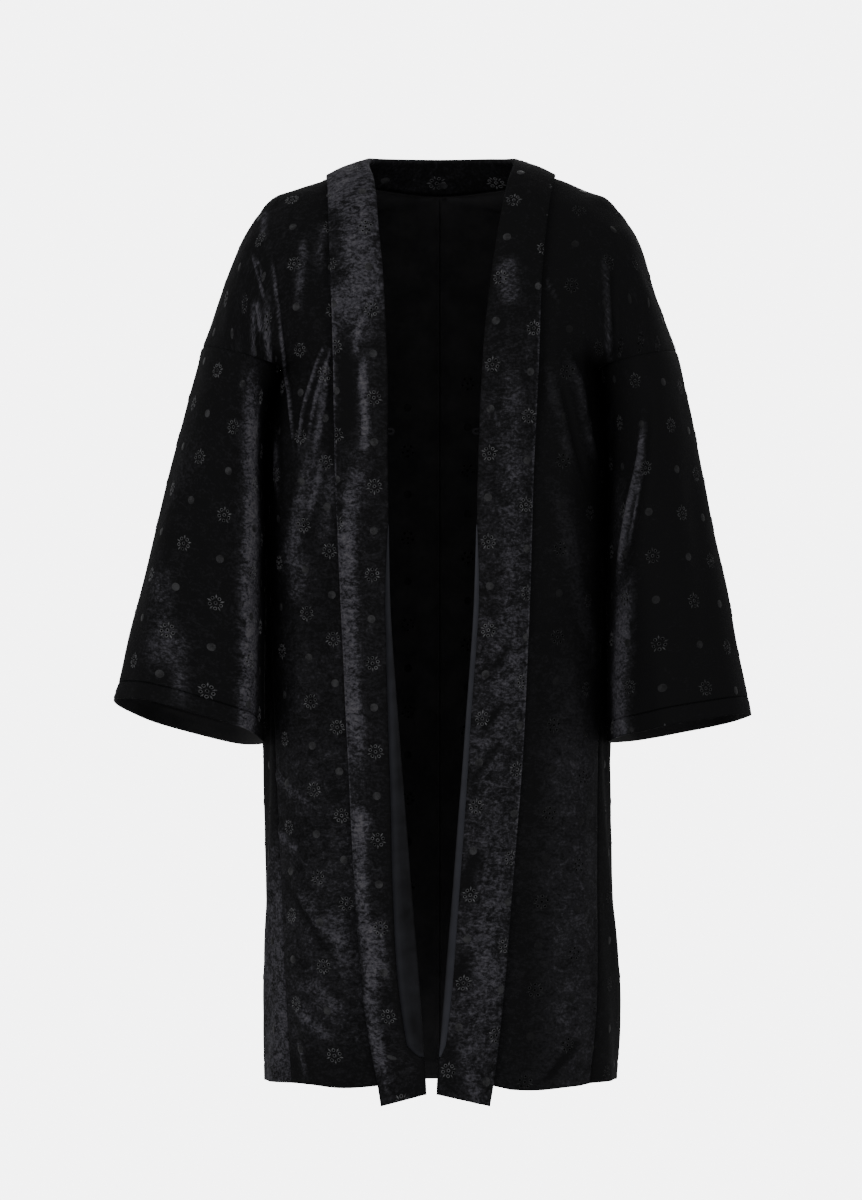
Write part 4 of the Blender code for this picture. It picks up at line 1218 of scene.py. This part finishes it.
# The shaded left front's motifs in the shaded copy of the thread.
BODY_THREADS = {RIGHT: lit_threads, LEFT: shaded_threads}
# Copies of one velvet for the lit right and the shaded left, whose streaks are painted less
# uneven.
body_velvet = {
    RIGHT: crushed_velvet("body_right_velvet", depth=0.88),
    LEFT: crushed_velvet("body_left_velvet", depth=0.65),
}


def cloth_place(cloth, x, z, face):
    """Cloth lengths of the point seen at a place in millimetres, square on."""
    off = (cloth.points[..., 0] - x * MM) ** 2 + (cloth.points[..., 2] - z * MM) ** 2
    off = np.where(face * cloth.outward[..., 1] > 0.2, off, np.inf)
    spot = np.unravel_index(np.argmin(off), off.shape)
    return cloth.across[spot], cloth.along[spot]


def gathered_column(body, sites):
    """The column of motifs next to the collar lies nearer, as the cloth is pleated there."""
    across, along = cloth_place(body, *FLOWER_BY_COLLAR, FRONT)
    gathered = {kind: [place for place in places
                       if abs(place[0] - across) > 0.5 * PATTERN_COLUMN
                       or abs(place[1] - along) > GATHERED_STEPS.stop * PATTERN_STEP]
                for kind, places in sites.items()}
    for step in GATHERED_STEPS:
        gathered[step % 2].append((across, along + step * PATTERN_STEP))
    return gathered


for side in SIDE_NAME:
    name = "body_" + SIDE_NAME[side]
    shares = with_edges(104)
    points = panel_surface(side, shares)
    first_ring = len(LOW_SHARES) - 1
    shoulder = first_ring + len(RING_SHARES) - 1
    last_ring = shoulder + len(RING_SHARES) - 1
    across, along = panel_lengths(points, first_ring, last_ring, shoulder)
    points = body_folds(side, points, shares)
    outward = outward_ways(points, side)
    points = side_fullness(points, side, outward)
    points = hem_drop(shoulder_fit(points, side, outward), side)
    outward = outward_ways(points, side)
    points, front_shine = crease_cloth(points, outward, BODY_CREASES[side], FRONT)
    points, back_shine = crease_cloth(points, outward, BACK_CREASES[side], BACK)
    from_seam = run_across(points)
    to_end = from_seam[:, -1:] - from_seam
    hem = np.minimum(run_length(points), run_length(points[::-1])[::-1])
    relief = seam_dip(to_end) + hem_relief(hem)
    relief[shoulder:] += seam_dip(from_seam[shoulder:])
    calm = rise(from_seam, 0, 20) * rise(to_end, 0, 12)
    rippled = ripple(points, outward, size=38.0, height=2.2, seed=7.7 * side)
    points = blend(points, rippled, calm[..., None]) + outward * relief[..., None]
    # Painted light: the panel's level by height, added to the creases' painted highlights and
    # shade.
    level = blend(*(np.interp(-points[..., 2] / MM, *zip(*levels))
                    for levels in (BODY_LEVELS[side], BACK_LEVEL)), rise(points[..., 1], -20, 50))
    shine = front_shine + back_shine + level
    body = hang_cloth(name + "_cloth", points, outward_ways(points, side), across, along,
                      shine, body_velvet[side], wrong_side)
    flower = cloth_place(body, *FLOWER_ON_BODY[side], FRONT)
    sites = pattern_sites(body, *flower, -side)
    if side == RIGHT:
        sites = gathered_column(body, sites)
    motifs = []
    # The back's motifs in the half-shaded copy, the inside's in the shaded copy, as painted shade.
    for part, start, end, threads, face in (
            ("", 0, shoulder, BODY_THREADS[side], 1.0),
            ("_back", shoulder, None, half_shaded_threads, 1.0),
            ("_inside", last_ring, None, shaded_threads, -1.0)):
        low = body.along[start, 0] if start else -np.inf
        high = body.along[end, 0] if end else np.inf
        chosen = {kind: [place for place in sites[kind] if low < place[1] <= high]
                  for kind in sites}
        motifs.append(embroider(name + "_embroidery" + part, body, chosen, threads, face))
    dress(body, name, motifs)

# ---------------------------------------------------------------- gussets
# A long wedge of the same velvet is let in under each arm, from a point at the underarm to
# its full width at the hem.
# Painted light on the gussets: lighter low down on the lit right one than the shaded left, some at
# the back.
GUSSET_TOP_SHINE = 0.10
GUSSET_SHINE = {RIGHT: 0.68, LEFT: 0.09}
GUSSET_BACK_SHINE = 0.16
GUSSET_SLACK = 2.4              # millimetres that its waves stand out
GUSSET_WAVE = 38.0 * MM         # cloth for each radian of a wave
GUSSET_SHARES = np.array((0.0, 0.04, 0.1, 0.18, 0.28, 0.39, 0.5, 0.61, 0.72, 0.82, 0.9, 0.96,
                          1.0))
GUSSET_FLOWER = 60.0 * MM       # below the underarm
for side in SIDE_NAME:
    name = "gusset_" + SIDE_NAME[side]
    height = blend(SIDE_HEM, SLEEVES[side].under_z * MM, LOW_SHARES)
    front = gusset_seam(side, FRONT, height)[:, 1] + 0.5 * SEAM_GAP
    back = gusset_seam(side, BACK, height)[:, 1] - 0.5 * SEAM_GAP
    depth = blend(front[:, None], back[:, None], GUSSET_SHARES)
    points = outline_point(side, depth, height[:, None])
    points = hem_drop(side_fullness(points, side, outward_ways(points, side)), side)
    outward = outward_ways(points, side)
    from_front = run_across(points)
    width = from_front[:, -1:]
    dip = seam_dip(from_front) + seam_dip(width - from_front)
    drop = run_length(points)
    slack = rise(width, 30, 60) * np.sin(np.pi * GUSSET_SHARES) * GUSSET_SLACK * MM
    wave = slack * np.sin(drop / GUSSET_WAVE + 9.0 * GUSSET_SHARES)
    points = points + outward * (dip + wave + hem_relief(drop))[..., None]
    gusset_shine = blend(GUSSET_TOP_SHINE, GUSSET_SHINE[side], rise(points[..., 2], -600, -150))
    gusset_shine = blend(gusset_shine, GUSSET_BACK_SHINE, rise(points[..., 1], -5, 40))
    gusset = hang_cloth(name + "_cloth", points, outward_ways(points, side), from_front,
                        drop, gusset_shine, body_velvet[side], wrong_side)
    sites = pattern_sites(gusset, 0.5 * width[0, 0], GUSSET_FLOWER)
    # The gusset's motifs in the shaded copy of the thread, as painted shade.
    motifs = embroider(name + "_embroidery", gusset, sites, shaded_threads)
    dress(gusset, name, [motifs])

# ---------------------------------------------------------------- sleeves
# Straight tubes of the same velvet, seamed under the arm and set on the drop of the shoulder.
# The cuff is turned up and stitched, and stays open round the wrist.
SLEEVE_FOLD_START = 0.15        # share of the sleeve over which its folds rise
SLEEVE_SHARES = np.unique(np.concatenate([
    np.linspace(0.0, 1.0, 64), [0.004, 0.01, 0.94, 0.947, 0.952, 0.957, 0.966, 0.995]]))
TubeFold = namedtuple("TubeFold", "turn0 along0 turn1 along1 spread height")
SLEEVE_FOLDS = {
    RIGHT: (
        (125, 0.0, 135, 1.0, 16, 6),
        (78, 0.1, 98, 1.0, 16, -5),
        (40, 0.25, 55, 1.0, 15, 5),
        (-45, 0.0, -60, 1.0, 18, 6),
        (-85, 0.1, -95, 0.9, 16, -5),
        (-128, 0.2, -125, 1.0, 15, 5),
    ),
    LEFT: (
        (70, 0.05, 118, 0.55, 14, 7),
        (118, 0.5, 105, 1.0, 14, 6),
        (45, 0.3, 62, 1.0, 15, -5),
        (-50, 0.0, -55, 1.0, 18, 6),
        (-90, 0.15, -88, 1.0, 16, -5),
        (-130, 0.2, -122, 1.0, 15, 5),
    ),
}
# Creases with painted highlights, and painted shade where the last number is negative.
SLEEVE_CREASES = {
    RIGHT: (
        (((-189, -160), (-188, -225), (-188, -275), (-187, -345), (-190, -405), (-190, -465),
          (-193, -525), (-194, -625)), 8.5, 3.0, 0.92),
        (((-173, -160), (-172, -325), (-172, -625)), 6.0, -3.0, -0.2),
        (((-273, -380), (-276, -425), (-278, -460), (-286, -505)), 12.0, 1.0, 0.36),
        (((-260, -445), (-259, -490), (-256, -540)), 9.0, 0.8, 0.34),
        (((-248, -215), (-260, -285), (-270, -355)), 14.0, 0.5, 0.12),
    ),
    LEFT: (
        (((173, -217), (170, -277), (167, -329), (163, -377)), 1.6, 1.6, 0.55),
        (((177, -285), (175, -335), (171, -395)), 8.0, 0.4, 0.3),
        (((204, -229), (199, -285), (190, -329), (183, -370), (177, -417)), 2.6, 3.2, 0.8),
        (((202, -287), (195, -335), (186, -381)), 1.4, 1.0, 0.7),
        (((185, -370), (185, -425), (182, -475), (181, -525), (183, -625)), 7.5, 2.4, 0.76),
        (((200, -385), (206, -465), (210, -625)), 9.0, -1.6, -0.1),
    ),
}
# Creases with painted highlights, and painted shade where the last number is negative.
SLEEVE_BACK_CREASES = {
    RIGHT: (
        (((-196, -200), (-200, -320), (-198, -600)), 8.0, 2.4, 0.58),
        (((-240, -210), (-256, -350), (-266, -560)), 11.0, 1.8, 0.43),
        (((-182, -260), (-190, -380), (-186, -520)), 6.0, 1.6, 0.38),
    ),
    LEFT: (
        (((194, -205), (200, -330), (196, -600)), 8.0, 2.4, 0.58),
        (((238, -215), (250, -350), (258, -560)), 11.0, 1.8, 0.43),
        (((184, -270), (188, -390), (182, -520)), 6.0, 1.6, 0.38),
    ),
}
# Painted light on the sleeves: the lit right lighter than the shaded left.
SLEEVE_LEVEL = {RIGHT: 0.08, LEFT: 0.03}
# The shaded left sleeve's motifs in the half-shaded copy of the thread.
SLEEVE_THREADS = {RIGHT: lit_threads, LEFT: half_shaded_threads}
FLOWER_ON_SLEEVE = {RIGHT: (-214, -339), LEFT: (212, -383)}
# Copies of one velvet for the lit right and the shaded left, whose streaks are painted less
# uneven.
sleeve_velvet = {
    RIGHT: crushed_velvet("sleeve_right_velvet", depth=1.0),
    LEFT: crushed_velvet("sleeve_left_velvet", depth=0.75),
}
for side in SIDE_NAME:
    name = "sleeve_" + SIDE_NAME[side]
    front = underarm_turn(side, FRONT) * np.linspace(0.0, 1.0, 97)
    back = underarm_turn(side, BACK) * np.linspace(0.0, 1.0, 73)
    turns = np.concatenate([[-np.pi], back[::-1], front[1:], [np.pi]])
    turn, along = turns[None, :], SLEEVE_SHARES[:, None]
    points = sleeve_point(side, turn, along)
    middle = 0.5 * (sleeve_point(side, 0.0, along) + sleeve_point(side, np.pi, along))
    push = np.zeros(points.shape[:2])
    for fold in map(TubeFold._make, SLEEVE_FOLDS[side]):
        share = (along - fold.along0) / (fold.along1 - fold.along0)
        centre = np.radians(blend(fold.turn0, fold.turn1, np.clip(share, 0.0, 1.0)))
        off = (turn - centre + np.pi) % (2.0 * np.pi) - np.pi
        fade = fold_fade(share, fold.along1 < 1.0)
        push += fold.height * MM * bell(off, np.radians(fold.spread)) * fade
    points = points + unit(points - middle) * (push * ease(along / SLEEVE_FOLD_START))[..., None]
    seam_way = unit(sleeve_way(side, 0.0) + sleeve_way(side, np.pi))
    points[0] += seam_way * (0.5 * SEAM_GAP)
    points = shoulder_fit(points, side, outward_ways(points, side, closed=True))
    outward = outward_ways(points, side, closed=True)
    lengthways = run_length(points)
    across = run_length(points.transpose(1, 0, 2)).mean(axis=1)[None, :] + 0.0 * along
    points, front_shine = crease_cloth(points, outward, SLEEVE_CREASES[side], FRONT)
    points, back_shine = crease_cloth(points, outward, SLEEVE_BACK_CREASES[side], BACK)
    to_cuff = lengthways[-1:] - lengthways
    relief = hem_relief(to_cuff) + seam_dip(lengthways)
    calm = rise(lengthways, 0, 14) * ease((np.pi - np.abs(turn)) / 0.25)
    rippled = ripple(points, outward, size=42.0, height=1.8, seed=3.3 * side)
    points = blend(points, rippled, calm[..., None]) + outward * relief[..., None]
    # Painted light: the creases' painted highlights and shade, and the side's level.
    sleeve_shine = front_shine + back_shine + SLEEVE_LEVEL[side]
    sleeve = hang_cloth(name + "_cloth", points, outward_ways(points, side, closed=True),
                        across, lengthways, sleeve_shine, sleeve_velvet[side], wrong_side,
                        closed=True)
    flower = cloth_place(sleeve, *FLOWER_ON_SLEEVE[side], FRONT)
    motifs = embroider(name + "_embroidery", sleeve, pattern_sites(sleeve, *flower, -side),
                       SLEEVE_THREADS[side])
    dress(sleeve, name, [motifs])

# ---------------------------------------------------------------- facings
# A plain, smooth cloth with a faint sheen faces the inside of the collar's fold. Down the
# lower front it rolls out past the fold as a narrow strip.
FACING_WALL = 1.0 * MM
FACING_BAND = 16.0 * MM         # how far it goes on inside the fold
FACING_TOP = -350.0 * MM
FACING_FOOT = -880.0 * MM
FACING_LIGHT_FADE = 10.0 * MM         # over which the painted light on the strip fades away from its fold
FACING_ROLL = 0.9 * MM          # how far its edge rolls under
FACING_WAVE = 0.5 * MM          # how far it waves, and the cloth for each radian of a wave
FACING_WAVE_STEP = 21.0 * MM
# Painted light on each facing strip at its fold.
FACING_LIGHT = {RIGHT: 0.36, LEFT: 0.80}


def plain_facing():
    """A close satin weave, dark blue-grey, painted lighter where its strip rolls out at the fold.
    """
    material, add, colour, relief = new_finish(
        "plain_facing", Roughness=0.5, Specular_IOR_Level=0.06, Sheen_Weight=0.03)
    metres = cloth_metres(add)
    threads = add("TexWave", "Fac", {"Vector": metres, "Scale": 420.0, "Distortion": 0.6},
                  bands_direction="DIAGONAL")
    cloudy = add("TexNoise", "Fac", {"Vector": metres, "Scale": 45.0, "Detail": 3.0})
    # Painted light from the cloth's attribute, on top of cloudy tone.
    turned = add("Attribute", "Fac", {}, attribute_name="pile_and_painted_light")
    colour(sum_of(add, cloudy, 0.4, turned),
           (0.1, 0.0034, 0.0034, 0.0038), (1.0, 0.0410, 0.0422, 0.0510))
    relief((threads, 0.15, 0.2 * MM))
    return material


facing_cloth = plain_facing()
for side in SIDE_NAME:
    name = "collar_facing_" + SIDE_NAME[side]
    places = np.linspace(0.0, SHOULDER_ROW, 2001)
    heights = collar_lines(side, places)[2][:, 2]
    shown = places[(heights > FACING_FOOT) & (heights < FACING_TOP)]
    places = np.linspace(shown[0], shown[-1], 121)
    edge, width, inward, outward, show = collar_frame(side, places)
    shares = np.linspace(0.0, 1.0, 9)[None, :]
    across = blend((width - FACING_BAND)[:, None], (width + show)[:, None], shares)
    depth = -0.5 * (WALL + FACING_WALL) - SEAM_GAP
    points = (edge[:, None] + inward[:, None] * across[..., None]
              + outward[:, None] * depth)
    ways = outward_ways(points, -side)
    roll = FACING_ROLL * ease((shares - 0.8) / 0.2)
    waves = FACING_WAVE * np.sin(run_length(points) / FACING_WAVE_STEP) * shares
    points = points + ways * (waves - roll)[..., None]
    lengths = run_length(points)
    widths = run_across(points)
    # Painted light on the strip: lightest at its fold, fading to dark away from it.
    turned = FACING_LIGHT[side] * (1.0 - ease((across - width[:, None]) / FACING_LIGHT_FADE))
    facing = hang_cloth(name + "_cloth", points, outward_ways(points, -side), widths, lengths,
                        turned, facing_cloth, facing_cloth)
    dress(facing, name)

# ---------------------------------------------------------------- tie loops
# Two small loops of black twisted cord at the fold take the hooks of the front ties. They
# keep the solids' own shape, in a corded finish.


def twisted_cord():
    material, add, colour, relief = new_finish(
        "twisted_cord", Roughness=0.6, Specular_IOR_Level=0.06)
    turned = add("Mapping", "Vector", {"Vector": add("TexCoord", "Object", {}),
                                       "Rotation": (0.0, 0.7, 0.0)})
    twist = add("TexWave", "Fac", {"Vector": turned, "Scale": 420.0, "Distortion": 0.5})
    colour(twist, (0.0, 0.003, 0.003, 0.0035), (1.0, 0.009, 0.009, 0.010))
    relief((twist, 0.6, 0.4 * MM))
    return material


cord_finish = twisted_cord()
for side in SIDE_NAME:
    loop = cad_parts["tie_loop_" + SIDE_NAME[side]]
    for spot in loop.material_slots:
        spot.material = cord_finish

# ---------------------------------------------------------------- studio
# The jacket hangs free over a plain pale floor, in an even pale surround. Three broad soft
# lamps light it, and the camera looks at it level from far off.
FLOOR_HEIGHT = -1.45
FLOOR_RADIUS = 2.9
CAMERA_PLACE = (-0.009, -12.0, -0.425)
SENSOR_WIDTH = 36.0             # millimetres
VIEW_HEIGHT = 1.2               # metres that fill the frame's longer side
VIEW_DEPTH = -0.05              # depth at which they do
LAMP_AIM = (0.0, 0.0, -0.4)
bpy.ops.mesh.primitive_circle_add(vertices=96, radius=FLOOR_RADIUS, fill_type="NGON",
                                  location=(0.0, 0.0, FLOOR_HEIGHT))
floor = bpy.context.object
floor.name = "floor"
bpy.ops.object.transform_apply(location=True)
floor_paint, add, colour, _ = new_finish("pale_floor", Roughness=0.8)
grain = add("TexNoise", "Fac", {"Vector": add("TexCoord", "Object", {}), "Scale": 60.0})
colour(grain, (0.0, 0.80, 0.80, 0.80), (1.0, 0.84, 0.84, 0.84))
floor.data.materials.append(floor_paint)

world = bpy.data.worlds.new("studio")
world.use_nodes = True
bpy.context.scene.world = world
backdrop = world.node_tree.nodes["Background"]
seen = world.node_tree.nodes.new("ShaderNodeLightPath")
bright = world.node_tree.nodes.new("ShaderNodeMapRange")
bright.inputs["To Min"].default_value = 0.75
bright.inputs["To Max"].default_value = 5.9
world.node_tree.links.new(seen.outputs["Is Camera Ray"], bright.inputs["Value"])
world.node_tree.links.new(bright.outputs["Result"], backdrop.inputs["Strength"])
backdrop.inputs["Color"].default_value = (0.99, 0.99, 1.0, 1.0)

for name, place, size, power in (("lamp_left", (-2.6, -2.6, 0.9), 1.8, 30.0),
                                 ("lamp_right", (2.8, -2.4, 0.6), 1.8, 18.0),
                                 ("lamp_back", (0.4, 2.8, 1.4), 1.6, 20.0)):
    bpy.ops.object.light_add(type="AREA", location=place)
    lamp = bpy.context.object
    lamp.name = name
    lamp.data.size = size
    lamp.data.energy = power
    lamp.rotation_euler = (Vector(LAMP_AIM) - Vector(place)).to_track_quat("-Z", "Y").to_euler()

bpy.ops.object.camera_add(location=CAMERA_PLACE, rotation=(np.pi / 2.0, 0.0, 0.0))
camera = bpy.context.object
camera.data.sensor_width = SENSOR_WIDTH
camera.data.lens = SENSOR_WIDTH * (VIEW_DEPTH - CAMERA_PLACE[1]) / VIEW_HEIGHT
bpy.context.scene.camera = camera
